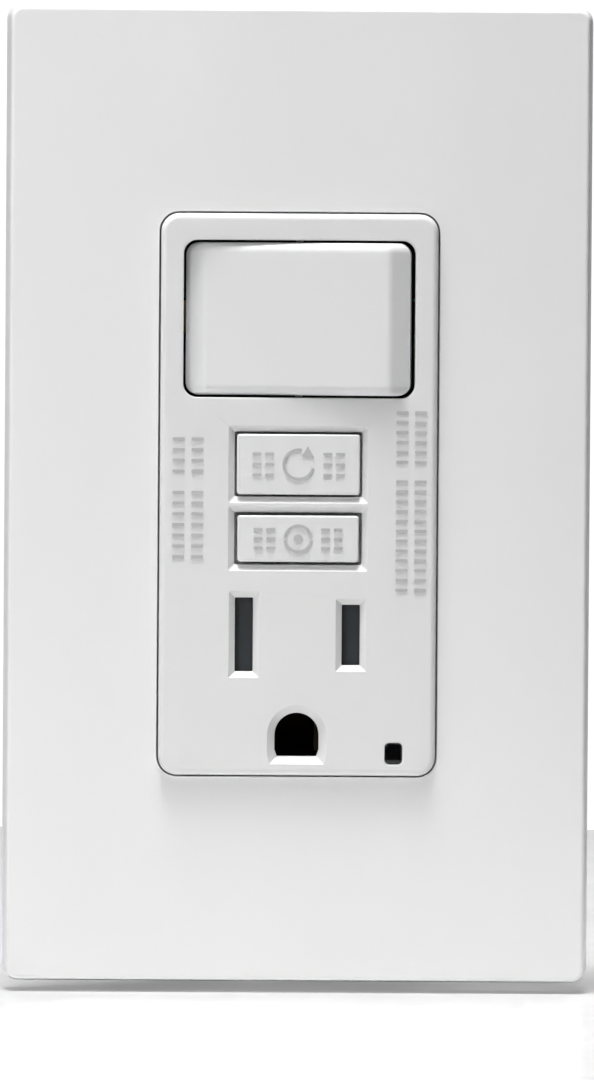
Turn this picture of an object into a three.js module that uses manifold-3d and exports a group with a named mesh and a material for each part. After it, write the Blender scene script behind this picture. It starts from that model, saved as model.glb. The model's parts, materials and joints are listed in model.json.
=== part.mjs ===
// A ground-fault outlet with a rocker switch, test and reset buttons, and a screwless cover plate.
// Millimetres. X is right, Y goes into the wall and Z is up. The wall is the plane y = 0, so what shows in
// the room has negative y. The origin is the middle of the device, in the plane of the wall.
import * as THREE from 'three';
import { mergeVertices } from 'three/addons/utils/BufferGeometryUtils.js';
import Module from 'manifold-3d';

const wasm = await Module();
wasm.setup();

// ---------------------------------------------------------------- driving dimensions

const DEGREE = Math.PI / 180;
const CORNER_STEPS = 3;   // straight steps around each rounded corner
const ROUND_SIDES = 12;   // sides of a turned part
const GAP = 0.3;          // running gap between neighbours
const FAR = 60;           // longer than any cut has to be
const TOUCH = 0.05;       // clearance where two pieces bear on each other

// The cover, the frame it snaps on, and the steel strap.
const PLATE = { width: 69.85, height: 116.6, corner: 2.0, front: -6.2, wall: 1.8, draft: 0.5, edge: 0.52 };
const WINDOW = { width: 33.3, height: 67.1, corner: 2.4 };
const BRACKET = {
  width: 64.6, height: 111.2, corner: 2.2, front: -3.1, back: -1.5,
  lip: 1.4, lipBack: -0.3,
};
const STRAP = {
  front: -1.3, back: 0, height: 106.4, corner: 2.5,
  earWidth: 35, railWidth: 32.4, waist: 36.2,
};
const STRAP_WINDOW = { width: 27.8, top: 32.2, bottom: -32.2 };
const BOX_SCREW_Z = 83.3 / 2;
const PLATE_SCREW_Z = 96.8 / 2;
const PLATE_SCREW_SEAT = 0.8;
const RIVET = { x: -9.4, z: -30.2, radius: 1.0 };
const GROUND_SCREW = { y: 5.2, z: -42 };

// The device: its face, the flange under the cover, and the housing in the wall box.
const FACE = { width: 32.9, height: 66.7, corner: 2.2, front: -7.4, skin: 2.0, wall: 1.6, edge: 0.7 };
const FACE_BACK = FACE.front + FACE.skin;
const FLANGE = { width: 43, height: 70, corner: 3, front: -3.2, back: -1.5 };
const HOUSING = {
  width: 43, height: 70, corner: 3, front: 0.15, back: 27,
  wall: 1.8, draft: 0.25, edge: 0.9,
};
const POST = { x: 18.2, z: 31.5, radius: 2.1, back: 6, pilot: 1.35, screw: 1.2, end: 1 };
const BOSS = { radius: 2.9, bore: 1.45, seat: 23.6, head: 2.4 };
const TRAY = { front: 11.5, back: 13.0, width: 38.2, height: 65.6, corner: 1 };
const BOARD = { front: 22.6, back: 24.2, width: 29, height: 64, corner: 0.8 };

// The rocker switch: its paddle turns on two short pins, and pushes a lever that carries the contact.
const SWITCH = { width: 27.5, height: 18.7, corner: 1.65, z: 20.85 };
const ROCKER = {
  pivot: -4.6, tilt: 5, halfWidth: 13.35, halfHeight: 9.05,
  face: -3.3, flat: 11.0, end: -1.8, back: 1.0,
};
const SWITCH_POST = { end: 4.6, bore: 1.6, floor: 0.2 };
const LEVER = { pivot: 3.6, tilt: 4, thick: 0.9, halfLength: 10, halfWidth: 2.6, contact: -8.5, pad: 1.5 };

// The two buttons, which stand in bevelled holes.
const RESET = { z: 3.6, width: 14.6, height: 7.16, bevel: 0.72 };
const TEST = { z: -5.22, width: 14.6, height: 5.7, bevel: 0.72 };
const BUTTON = {
  gap: 0.27, front: -7.55, edge: 0.25, corner: 0.5,
  rim: 0.9, rimFront: -5.1, rimBack: -4.1,
};
const RESET_SEAT = 6;
const LEAF = { root: -11.5, front: -1.7, thick: 0.4, length: 17 };
const PIN = { radius: 1.3, neck: 0.75, neckFront: 13.95, neckBack: 18.05, end: 20.5 };

// The plug slots, and the shutter behind them.
const SLOT = { x: 6.35, z: -16.65, width: 2.15, neutral: 8.68, hot: 7.0, bevel: 0.74 };
const GROUND = { z: -28.55, radius: 2.62, shoulder: 1.75, bottom: 2.55, flat: 2.33, bevel: 0.9 };
const BEVEL_DEPTH = 0.8;
const LAMP = { x: 11.5, z: -30.7, width: 2.1, height: 2.58, corner: 0.55 };
const SHUTTER = { front: -5.2, back: -3.0, left: -12, right: 9, travel: 2.9, halfHeight: 4.8 };

// The trip mechanism, behind the tray.
const ARM = { x: 8.1, root: -9.3, tip: 6, front: 16.0, thick: 0.6, halfWidth: 1.5, pad: 1.5 };
const LATCH = { front: 15.9, back: 16.7, travel: 1.8, halfWidth: 2.3, tabBottom: 9.0, tabTop: 9.6 };
const CARRIER = { front: 14.6, back: 19.2, halfWidth: 3.8, halfHeight: 3.4, wing: 10.2, wingFront: 16.9 };
const SOLENOID = {
  y: 17.8, bottom: 11.5, top: 24.5, flange: 4.5, tube: 2.2,
  bore: 1.7, plunger: 1.4, cap: 28.6,
};
const COIL = { z: -21, outer: 7.2, inner: 3.6, spans: [[14.6, 17.9], [18.3, 21.6]] };

// The wire terminals at the sides.
const TERMINAL = {
  y: 13, z: 17, inner: 16, thick: 1, half: 4.8, hole: 2.25,
  clamp: 17.3, clampThick: 1.2, window: 5.6,
};

// ---------------------------------------------------------------- materials

function finish(color, roughness, metalness = 0) {
  return new THREE.MeshStandardMaterial({ color, roughness, metalness });
}
const MATERIAL = {
  coverWhite: finish(0xe9e9e9, 0.35),
  faceWhite: finish(0xe6e6e6, 0.45),
  keyWhite: finish(0xe8e8e8, 0.4),
  bracketWhite: finish(0xd9d9d6, 0.55),
  housingGrey: finish(0xb9bcbf, 0.55),
  trayBlack: finish(0x2b2c2e, 0.6),
  shutterGrey: finish(0x4a5053, 0.5),
  lensSmoke: finish(0x101112, 0.15),
  zincSteel: finish(0xb4b6b4, 0.35, 1),
  brass: finish(0xc09a4e, 0.3, 1),
  nickel: finish(0xc9c8c2, 0.25, 1),
  green: finish(0x2f7d45, 0.4, 0.6),
  bronze: finish(0xb07a4a, 0.35, 1),
  copper: finish(0xa65a32, 0.35, 1),
  fibre: finish(0x8a6a48, 0.85),
  board: finish(0x1f5a36, 0.5),
  epoxy: finish(0x1c1c1e, 0.45),
  varistorBlue: finish(0x2a4f86, 0.5),
  filmYellow: finish(0xb99a2f, 0.45),
};

// ---------------------------------------------------------------- geometry helpers

// A closed three.js geometry as a manifold-3d solid, with its faces pointing out.
function solidOf(geometry) {
  const bare = new THREE.BufferGeometry().setAttribute('position', geometry.getAttribute('position'));
  bare.setIndex(geometry.index);
  const merged = mergeVertices(bare, 1e-4);
  const corners = merged.index.array;
  const kept = [];
  for (let i = 0; i < corners.length; i += 3) {
    const [a, b, c] = [corners[i], corners[i + 1], corners[i + 2]];
    if (a !== b && b !== c && a !== c) kept.push(a, b, c);
  }
  const vertProperties = merged.getAttribute('position').array;
  const make = (list) =>
    new wasm.Manifold(new wasm.Mesh({ numProp: 3, vertProperties, triVerts: Uint32Array.from(list) }));
  const solid = make(kept);
  return solid.volume() < 0 ? make(kept.reverse()) : solid;
}

// A manifold-3d solid as a three.js geometry with flat faces.
function geometryOf(solid) {
  const mesh = solid.getMesh();
  const shared = new THREE.BufferGeometry();
  shared.setAttribute('position', new THREE.BufferAttribute(mesh.vertProperties, 3));
  shared.setIndex(new THREE.BufferAttribute(mesh.triVerts, 1));
  const flat = shared.toNonIndexed();
  flat.computeVertexNormals();
  return flat;
}

const join = (first, ...rest) => rest.reduce((whole, piece) => whole.add(piece), first);
const cut = (first, ...rest) => rest.reduce((whole, piece) => whole.subtract(piece), first);

// A box from its low and high corners.
function box([x0, y0, z0], [x1, y1, z1]) {
  const geometry = new THREE.BoxGeometry(x1 - x0, y1 - y0, z1 - z0);
  geometry.translate((x0 + x1) / 2, (y0 + y1) / 2, (z0 + z1) / 2);
  return solidOf(geometry);
}

// A round bar along an axis, between two stations, with a second radius where it tapers.
function rod(axis, radius, from, to, [u, v] = [0, 0], endRadius = radius, sides = ROUND_SIDES) {
  const geometry = new THREE.CylinderGeometry(endRadius, radius, to - from, sides);
  geometry.translate(0, (from + to) / 2, 0);
  if (axis === 'x') geometry.rotateZ(-Math.PI / 2).translate(0, u, v);
  if (axis === 'y') geometry.translate(u, 0, v);
  if (axis === 'z') geometry.rotateX(Math.PI / 2).translate(u, v, 0);
  return solidOf(geometry);
}

// The corner points of a rounded rectangle in the XZ plane.
function outlineOf({ width, height, corner, x = 0, z = 0, steps = CORNER_STEPS }) {
  const radius = Math.max(corner, 0.05);
  const points = [];
  const centres = [[1, 1], [-1, 1], [-1, -1], [1, -1]];
  centres.forEach(([sx, sz], quarter) => {
    for (let step = 0; step <= steps; step++) {
      const angle = (quarter + step / steps) * 90 * DEGREE;
      points.push(new THREE.Vector2(
        x + sx * (width / 2 - radius) + radius * Math.cos(angle),
        z + sz * (height / 2 - radius) + radius * Math.sin(angle),
      ));
    }
  });
  return points;
}

// A solid through a stack of outlines, each at its own y: rounded rectangles, or rings of given points.
function loft(rings) {
  const outlines = rings.map((each) => each.points ?? outlineOf(each));
  const count = outlines[0].length;
  const positions = [];
  outlines.forEach((outline, i) => outline.forEach((p) => positions.push(p.x, rings[i].y, p.y)));
  const index = [];
  for (let ring = 0; ring < rings.length - 1; ring++) {
    for (let j = 0; j < count; j++) {
      const a = ring * count + j;
      const b = ring * count + ((j + 1) % count);
      index.push(a, b, a + count, b, b + count, a + count);
    }
  }
  const last = (rings.length - 1) * count;
  for (const [a, b, c] of THREE.ShapeUtils.triangulateShape(outlines[0], [])) {
    index.push(c, b, a, last + a, last + b, last + c);
  }
  const geometry = new THREE.BufferGeometry();
  geometry.setAttribute('position', new THREE.Float32BufferAttribute(positions, 3));
  geometry.setIndex(index);
  return solidOf(geometry);
}

// One ring of a loft, inset from a named outline.
const ring = (outline, y, inset = 0) => ({
  ...outline,
  y,
  width: outline.width - 2 * inset,
  height: outline.height - 2 * inset,
  corner: outline.corner - inset,
});

// The rings of a rounded edge, from the side wall at `inset` round to the end face at y.
function edgeRings(outline, y, radius, towards, inset = 0, steps = 3) {
  const rings = [];
  for (let step = 0; step <= steps; step++) {
    const angle = (step / steps) * 90 * DEGREE;
    const depth = radius * (1 - Math.sin(angle));
    rings.push(ring(outline, y - towards * depth, inset + radius * (1 - Math.cos(angle))));
  }
  return rings;
}

// A straight prism with a rounded rectangular section.
const block = (outline, front, back) => loft([ring(outline, back), ring(outline, front)]);

// A cutter for a hole through the face with a bevelled mouth, from a function that gives the outline grown
// by a distance.
function bevelledHole(grown, bevel) {
  const slope = bevel / BEVEL_DEPTH;
  const through = loft([{ ...grown(0), y: FACE_BACK + 1 }, { ...grown(0), y: FACE.front - 1 }]);
  const mouth = loft([
    { ...grown(0), y: FACE.front + BEVEL_DEPTH },
    { ...grown(bevel + slope), y: FACE.front - 1 },
  ]);
  return join(through, mouth);
}

// A prism along an axis, from two coordinates of each corner: [x, z] for y, [x, y] for z and [y, z] for x.
function prism(axis, corners, from, to) {
  const shape = new THREE.Shape(corners.map(([u, v]) => new THREE.Vector2(u, v)));
  const geometry = new THREE.ExtrudeGeometry(shape, { depth: to - from, bevelEnabled: false });
  if (axis === 'y') geometry.rotateX(Math.PI / 2).translate(0, to, 0);
  if (axis === 'z') geometry.translate(0, 0, from);
  if (axis === 'x') {
    geometry.applyMatrix4(new THREE.Matrix4().set(0, 0, 1, from, 1, 0, 0, 0, 0, 1, 0, 0, 0, 0, 0, 1));
  }
  return solidOf(geometry);
}

// A turned part about the Y axis, from [radius, y] points that start and end on the axis or form a loop.
function turned(profile, sides = ROUND_SIDES) {
  return solidOf(new THREE.LatheGeometry(profile.map(([r, y]) => new THREE.Vector2(r, y)), sides));
}

// A coil spring along +Y from the origin.
function coilSpring(radius, wire, length, turns) {
  class Helix extends THREE.Curve {
    getPoint(t, target = new THREE.Vector3()) {
      const angle = t * turns * 2 * Math.PI;
      return target.set(radius * Math.cos(angle), wire + t * (length - 2 * wire), radius * Math.sin(angle));
    }
  }
  const section = new THREE.Shape();
  section.absarc(0, 0, wire, 0, 2 * Math.PI);
  return solidOf(new THREE.ExtrudeGeometry(section, {
    steps: turns * 8,
    curveSegments: 3,
    bevelEnabled: false,
    extrudePath: new Helix(),
  }));
}

// A machine screw with its seat at the origin, its head towards -Y and its shank towards +Y.
function screw({ head, headHeight, shank, length, slot = 0.9, cross = false, sides = ROUND_SIDES }) {
  const point = Math.min(1, shank / 2);
  const body = turned([
    [0, -headHeight], [head * 0.55, -headHeight], [head * 0.9, -headHeight * 0.6],
    [head, -headHeight * 0.25], [head, 0], [shank, 0], [shank, length - point],
    [shank - point * 0.6, length], [0, length],
  ], sides);
  const depth = headHeight * 0.5;
  const reach = cross ? head * 0.6 : head * 1.2;
  const across = box([-reach, -headHeight - 1, -slot / 2], [reach, -headHeight + depth, slot / 2]);
  const upright = box([-slot / 2, -headHeight - 1, -reach], [slot / 2, -headHeight + depth, reach]);
  return cross ? cut(body, across, upright) : cut(body, across);
}

// ---------------------------------------------------------------- the assembly tree

const device = new THREE.Group();

function place(name, solid, material, parent = device) {
  const mesh = new THREE.Mesh(geometryOf(solid), material);
  mesh.name = name;
  parent.add(mesh);
  return mesh;
}

function groupAt(position, rotation = [0, 0, 0], parent = device) {
  const group = new THREE.Group();
  group.position.set(...position);
  group.rotation.set(...rotation);
  parent.add(group);
  return group;
}

const bothSides = (each) => [-1, 1].forEach(each);

// ---------------------------------------------------------------- cover, bracket and strap

function coverPlate() {
  const { height, width, front, wall, draft, edge } = PLATE;
  const outer = loft([ring(PLATE, 0), ...edgeRings(PLATE, front, edge, -1, draft)]);
  const hollow = loft([ring(PLATE, 1, wall), ring(PLATE, front + wall, wall + draft)]);
  const window = block(WINDOW, front - 1, 1);
  const notch = box([-6.4, -1.6, -height / 2 - 1], [-2.9, 1, -height / 2 + wall + 1]);
  const ribs = [];
  bothSides((side) => {
    for (const z of [-40, 0, 40]) {
      const rib = { width: 0.9, height: 10, corner: 0.1, steps: 1, x: side * (width / 2 - wall - 0.1), z };
      ribs.push(block(rib, -2.6, -1.9));
    }
  });
  return join(cut(outer, hollow, window, notch), ...ribs);
}

function coverBracket() {
  const { front, back, lip, lipBack } = BRACKET;
  const web = block(BRACKET, front, back);
  const rim = cut(block(BRACKET, front, lipBack), block(ring(BRACKET, 0, lip), front - 1, lipBack + 1));
  const deviceHole = { width: FLANGE.width + 1, height: FLANGE.height + 1, corner: FLANGE.corner };
  const cuts = [block(deviceHole, front - 1, 1)];
  bothSides((side) => {
    cuts.push(rod('y', 4.7, front - 1, 1, [0, side * BOX_SCREW_Z]));
    cuts.push(rod('y', 2.0, front - 1, 1, [0, side * PLATE_SCREW_Z]));
    cuts.push(rod('y', 3.8, front - 1, front + PLATE_SCREW_SEAT, [0, side * PLATE_SCREW_Z]));
    for (const x of [-21, 21]) {
      cuts.push(block({ width: 9, height: 7, corner: 1.5, x, z: side * 45 }, front - 1, 1));
    }
    const relief = { width: 6.4, height: 2 * FAR, corner: 0.3, steps: 1, x: side * 14 };
    cuts.push(block(relief, lipBack - 0.8, 1));
  });
  return cut(join(web, rim), ...cuts);
}

function mountingStrap() {
  const { front, back, earWidth, railWidth, height, corner, waist } = STRAP;
  const ears = block({ width: earWidth, height, corner }, front, back);
  const { width, top, bottom } = STRAP_WINDOW;
  const holes = [box([-width / 2, -FAR, bottom], [width / 2, FAR, top])];
  bothSides((side) => {
    const x = side * (railWidth + FAR) / 2;
    const beside = { width: FAR, height: 2 * waist, corner: 0.5, steps: 1, x };
    holes.push(block(beside, -FAR, FAR));
    holes.push(block({ width: 6.4, height: 4.0, corner: 2.0, z: side * BOX_SCREW_Z }, -FAR, FAR));
    holes.push(rod('y', 1.9, -FAR, FAR, [0, side * PLATE_SCREW_Z]));
    bothSides((hand) => {
      holes.push(rod('y', 2.3, -FAR, FAR, [hand * 13.2, side * 47.2], 2.3, 8));
      holes.push(rod('y', POST.radius + GAP, -FAR, FAR, [hand * POST.x, side * POST.z]));
    });
  });
  const rivetTab = box([-width / 2 - 1, front, bottom - 1], [-5.6, back, -28.8]);
  const groundTab = box([earWidth / 2 - 1.2, front / 2, -46], [earWidth / 2, 10, -38]);
  const rivetHole = rod('y', RIVET.radius + 0.1, -FAR, FAR, [RIVET.x, RIVET.z]);
  const groundHole = rod('x', TERMINAL.hole, 0, FAR, [GROUND_SCREW.y, GROUND_SCREW.z]);
  return cut(join(cut(ears, ...holes), rivetTab, groundTab), rivetHole, groundHole);
}

place('cover_plate', coverPlate(), MATERIAL.coverWhite);
place('cover_bracket', coverBracket(), MATERIAL.bracketWhite);
place('mounting_strap', mountingStrap(), MATERIAL.zincSteel);

bothSides((side) => {
  const end = side > 0 ? 'top' : 'bottom';
  const plateScrew = screw({ head: 3.4, headHeight: 1.3, shank: 1.7, length: 8.3 });
  const plateScrewPlace = groupAt([0, BRACKET.front + PLATE_SCREW_SEAT - TOUCH, side * PLATE_SCREW_Z]);
  place(`bracket_screw_${end}`, plateScrew, MATERIAL.zincSteel, plateScrewPlace);
  const boxScrew = screw({ head: 3.5, headHeight: 1.9, shank: 1.65, length: 24, cross: true });
  const boxScrewPlace = groupAt([0, STRAP.front - TOUCH, side * BOX_SCREW_Z]);
  place(`box_screw_${end}`, boxScrew, MATERIAL.zincSteel, boxScrewPlace);
  const washer = block({ width: 9.4, height: 9.4, corner: 1, z: side * BOX_SCREW_Z }, TOUCH, 0.85);
  const washerHole = rod('y', 1.85, -1, 2, [0, side * BOX_SCREW_Z]);
  place(`screw_retainer_${end}`, cut(washer, washerHole), MATERIAL.fibre);
});

// ---------------------------------------------------------------- front cover and what is held in it

// The outline of the ground hole, an arch over a flat bottom, grown by a distance.
function groundOutline(growth) {
  const radius = GROUND.radius + growth;
  const points = [];
  for (let step = 0; step <= 10; step++) {
    const angle = step * 18 * DEGREE;
    points.push(new THREE.Vector2(radius * Math.cos(angle), GROUND.z + radius * Math.sin(angle)));
  }
  for (const [x, drop] of [[-1, 0], [-1, 1], [1, 1], [1, 0]]) {
    const halfWidth = drop ? GROUND.flat + growth : radius;
    const depth = drop ? GROUND.bottom + growth : GROUND.shoulder + growth / 2;
    points.push(new THREE.Vector2(x * halfWidth, GROUND.z - depth));
  }
  return { points };
}

// A rectangular outline grown by a distance, with its mitred corners kept.
const grownRectangle = (outline) => (growth) => ({
  ...outline,
  width: outline.width + 2 * growth,
  height: outline.height + 2 * growth,
});

const buttonHole = ({ z, width, height, bevel }) =>
  bevelledHole(grownRectangle({
    width: width + 2 * BUTTON.gap,
    height: height + 2 * BUTTON.gap,
    corner: BUTTON.corner,
    z,
  }), bevel);

const plugSlot = (x, height) =>
  bevelledHole(
    grownRectangle({ width: SLOT.width, height, corner: 0.1, steps: 1, x, z: SLOT.z }),
    SLOT.bevel,
  );

function frontCover() {
  const { front, wall, edge } = FACE;
  const face = loft([ring(FACE, FLANGE.front), ...edgeRings(FACE, front, edge, -1, 0, 2)]);
  const flange = block(FLANGE, FLANGE.front, FLANGE.back);
  const hollow = block({ ...ring(FACE, 0, wall), corner: 0.8 }, FACE_BACK, FAR);
  let body = cut(join(face, flange), hollow);
  bothSides((side) => {
    bothSides((hand) => {
      const post = rod('y', POST.radius, FLANGE.front + 1, POST.back, [hand * POST.x, side * POST.z]);
      body = cut(body.add(post), rod('y', POST.pilot, -0.6, FAR, [hand * POST.x, side * POST.z]));
    });
    const ribZ = SWITCH.z + side * (SWITCH.height / 2 + 0.62);
    const rib = block({ width: 5, height: 1.24, corner: 0.1, steps: 1, z: ribZ }, FACE_BACK - 0.2, -3.0);
    const cradle = join(
      rod('z', 0.9, ribZ - 1, ribZ + 1, [0, ROCKER.pivot]),
      box([-0.9, ROCKER.pivot, ribZ - 1], [0.9, 0, ribZ + 1]),
    );
    const rail = block(
      { width: 27, height: 0.8, corner: 0.1, steps: 1, z: SLOT.z + side * (SHUTTER.halfHeight + 0.75) },
      FACE_BACK - 0.2,
      -2.6,
    );
    body = join(cut(body.add(rib), cradle), rail);
  });
  return cut(
    body,
    block(SWITCH, front - 1, FACE_BACK + 0.01),
    buttonHole(RESET),
    buttonHole(TEST),
    plugSlot(-SLOT.x, SLOT.neutral),
    plugSlot(SLOT.x, SLOT.hot),
    bevelledHole(groundOutline, GROUND.bevel),
    block(LAMP, front - 1, FACE_BACK + 0.01),
  );
}

// A button with a rim behind the face that stops it from coming out.
function button({ width, height }, stem) {
  const { front, edge, rim, rimFront, rimBack, corner } = BUTTON;
  const cap = { width, height, corner };
  const head = loft([ring(cap, rimFront + 0.1), ...edgeRings(cap, front, edge, -1, 0, 2)]);
  const base = block({ width: width + 2 * rim, height: height + 1.3, corner }, rimFront, rimBack);
  return join(head, base, stem);
}

place('front_cover', frontCover(), MATERIAL.faceWhite);

const resetPlace = groupAt([0, 0, RESET.z]);
const resetSocket = cut(
  rod('y', 2.0, BUTTON.rimBack - 0.1, -2.6),
  rod('y', 1.5, BUTTON.rimBack + TOUCH, -2),
);
place('reset_button', button(RESET, resetSocket), MATERIAL.keyWhite, resetPlace);
const resetPin = turned([
  [0, BUTTON.rimBack + GAP], [PIN.radius, BUTTON.rimBack + GAP], [PIN.radius, PIN.neckFront],
  [PIN.neck, PIN.neckFront], [PIN.neck, PIN.neckBack], [PIN.radius, PIN.neckBack],
  [PIN.radius, PIN.end - 1.2], [0.5, PIN.end], [0, PIN.end],
]);
place('reset_pin', resetPin, MATERIAL.zincSteel, resetPlace);
const resetSpringPlace = groupAt([0, BUTTON.rimBack + TOUCH, RESET.z]);
const resetSpring = coilSpring(2.5, 0.28, RESET_SEAT - BUTTON.rimBack - 2 * TOUCH, 6);
place('reset_spring', resetSpring, MATERIAL.zincSteel, resetSpringPlace);

const testPlace = groupAt([0, 0, TEST.z]);
const testStem = rod('y', 1.2, BUTTON.rimBack - 0.1, LEAF.front - GAP);
place('test_button', button(TEST, testStem), MATERIAL.keyWhite, testPlace);
const leafPlace = groupAt([LEAF.root, LEAF.front, TEST.z]);
const leaf = join(
  box([-1.6, 0, -1.3], [LEAF.length, LEAF.thick, 1.3]),
  rod('y', 1.0, LEAF.thick - 0.1, LEAF.thick + 0.5, [LEAF.length - 1.4, 0]),
);
place('test_contact', leaf, MATERIAL.bronze, leafPlace);

// The shutter is one slide with a window for each blade, which stands beside its slot until it is pushed.
function shutterSlider() {
  const { front, back, left, right, travel, halfHeight } = SHUTTER;
  const plate = box([left, front, SLOT.z - halfHeight], [right, back, SLOT.z + halfHeight]);
  const windows = [[-SLOT.x, SLOT.neutral], [SLOT.x, SLOT.hot]].map(([x, slotHeight]) => {
    const size = { width: SLOT.width + 0.5, height: slotHeight + 0.4, corner: 0.1, steps: 1 };
    return block({ ...size, x: x - travel, z: SLOT.z }, -FAR, FAR);
  });
  return cut(plate, ...windows);
}

place('shutter_slider', shutterSlider(), MATERIAL.shutterGrey);
const shutterSpring = coilSpring(0.9, 0.16, FACE.width / 2 - FACE.wall - SHUTTER.right - 2 * TOUCH, 4);
const shutterSpringPlace = groupAt(
  [SHUTTER.right + TOUCH, (SHUTTER.front + SHUTTER.back) / 2, SLOT.z],
  [0, 0, -90 * DEGREE],
);
place('shutter_spring', shutterSpring, MATERIAL.zincSteel, shutterSpringPlace);

const lamp = join(
  block({ ...LAMP, width: LAMP.width - 0.2, height: LAMP.height - 0.2 }, FACE.front + 0.15, FACE_BACK),
  rod('y', 0.9, FACE_BACK - 0.2, 19.5, [LAMP.x, LAMP.z]),
);
place('light_pipe', lamp, MATERIAL.lensSmoke);

// ---------------------------------------------------------------- rocker switch

// The paddle, about the axis of its two pins: flat in front, sloping back at both ends, hollow behind.
function rockerPaddle() {
  const { halfWidth, halfHeight, face, flat, end, back } = ROCKER;
  const profile = [
    [-halfWidth, back], [-halfWidth, end], [-flat, face],
    [flat, face], [halfWidth, end], [halfWidth, back],
  ];
  const section = [[back, -halfHeight], [back, halfHeight]];
  const round = 1.1;
  for (let step = 0; step <= 3; step++) {
    const angle = step * 30 * DEGREE;
    section.push([face + round * (1 - Math.sin(angle)), halfHeight - round * (1 - Math.cos(angle))]);
  }
  for (let step = 3; step >= 0; step--) {
    const angle = step * 30 * DEGREE;
    section.push([face + round * (1 - Math.sin(angle)), -halfHeight + round * (1 - Math.cos(angle))]);
  }
  const rounded = block({ width: 2 * halfWidth, height: 2 * halfHeight, corner: 1.4 }, face - 1, back + 1);
  const shell = prism('z', profile, -halfHeight, halfHeight)
    .intersect(prism('x', section, -halfWidth, halfWidth))
    .intersect(rounded);
  const inside = { width: 2 * halfWidth - 3.4, height: 2 * halfHeight - 3, corner: 1 };
  const hollow = block(inside, face + 1.8, FAR);
  const pins = [rod('z', 0.7, -10, -8), rod('z', 0.7, 8, 10)];
  const post = rod('y', 2.3, face + 1, SWITCH_POST.end);
  return cut(join(cut(shell, hollow), ...pins, post), rod('y', SWITCH_POST.bore, SWITCH_POST.floor, FAR));
}

const rockerPlace = groupAt([0, ROCKER.pivot, SWITCH.z], [0, 0, -ROCKER.tilt * DEGREE]);
place('switch_rocker', rockerPaddle(), MATERIAL.keyWhite, rockerPlace);
const rockerPlunger = turned([[0, 3.5], [1.25, 3.5], [1.25, 6.4], [0.9, 7.1], [0.4, 7.4], [0, 7.4]]);
place('switch_plunger', rockerPlunger, MATERIAL.nickel, rockerPlace);
const rockerSpringPlace = groupAt([0, SWITCH_POST.floor + TOUCH, 0], [0, 0, 0], rockerPlace);
const rockerSpring = coilSpring(0.95, 0.16, 3.5 - SWITCH_POST.floor - 2 * TOUCH, 4);
place('switch_plunger_spring', rockerSpring, MATERIAL.zincSteel, rockerSpringPlace);

const leverPlace = groupAt([0, LEVER.pivot, SWITCH.z], [0, 0, LEVER.tilt * DEGREE]);
const lever = join(
  box(
    [-LEVER.halfLength, -LEVER.thick / 2, -LEVER.halfWidth],
    [LEVER.halfLength, LEVER.thick / 2, LEVER.halfWidth],
  ),
  rod('y', LEVER.pad, 0, LEVER.thick / 2 + 0.75, [LEVER.contact, 0]),
);
place('switch_contact_arm', lever, MATERIAL.brass, leverPlace);

// ---------------------------------------------------------------- rear housing and tray

function rearHousing() {
  const { front, back, wall, draft, edge } = HOUSING;
  const outer = loft([ring(HOUSING, front), ...edgeRings(HOUSING, back, edge, 1, draft)]);
  const hollow = block({ ...ring(HOUSING, 0, wall), corner: 1.4 }, front - 1, back - wall);
  const bosses = [];
  const cuts = [];
  const wireHole = (at) => rod('y', 1.75, back - wall - 1, FAR, at, 1.75, 8);
  bothSides((side) => bothSides((hand) => {
    const at = [hand * POST.x, side * POST.z];
    bosses.push(rod('y', BOSS.radius, POST.back + GAP, back - wall + 0.5, at));
    cuts.push(rod('y', POST.radius + GAP, -1, POST.back + GAP, at));
    cuts.push(rod('y', BOSS.bore, 0, FAR, at), rod('y', BOSS.head, BOSS.seat, FAR, at));
    const y = TERMINAL.y;
    const z = side * TERMINAL.z;
    const w = TERMINAL.window;
    const sideX = hand > 0 ? [HOUSING.width / 2 - wall - 1, FAR] : [-FAR, -HOUSING.width / 2 + wall + 1];
    cuts.push(box([sideX[0], y - w, z - w], [sideX[1], y + w, z + w]));
    for (const offset of [-3.3, 3.3]) cuts.push(wireHole([hand * 17.6, z + offset]));
  }));
  return cut(join(cut(outer, hollow), ...bosses), ...cuts);
}

// The tray divides the receptacle in front from the trip mechanism behind.
function innerFrame() {
  const { front, back } = TRAY;
  const floor = block(TRAY, front, back);
  const leafSeat = LEAF.front + LEAF.thick + GAP;
  const stands = [
    rod('y', 3.6, RESET_SEAT, front + 0.1, [0, RESET.z]),
    box([LEAF.root - 1.7, leafSeat, TEST.z - 1.6], [LEAF.root + 0.1, front + 0.1, TEST.z + 1.6]),
  ];
  const cuts = [rod('y', 1.65, 0, FAR, [0, RESET.z]), rod('y', 1.2, 0, FAR, [LAMP.x, LAMP.z])];
  bothSides((hand) => {
    for (const x of [3.75, 8.95]) {
      const wall = { width: 0.6, height: 9.5, corner: 0.1, steps: 1, x: hand * x, z: SLOT.z };
      stands.push(block(wall, 2, front + 0.1));
    }
    const tailHole = { width: 3.5, height: 1.4, corner: 0.2, steps: 1, x: hand * SLOT.x, z: -13.6 };
    cuts.push(block(tailHole, -FAR, FAR));
    bothSides((side) => {
      cuts.push(rod('y', BOSS.radius + GAP, 0, FAR, [hand * POST.x, side * POST.z]));
      const notch = { width: 20, height: 12.4, corner: 0.5, steps: 1 };
      cuts.push(block({ ...notch, x: hand * 23.5, z: side * TERMINAL.z }, -FAR, FAR));
    });
  });
  return cut(join(floor, ...stands), ...cuts);
}

place('rear_housing', rearHousing(), MATERIAL.housingGrey);
place('inner_frame', innerFrame(), MATERIAL.trayBlack);

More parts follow.
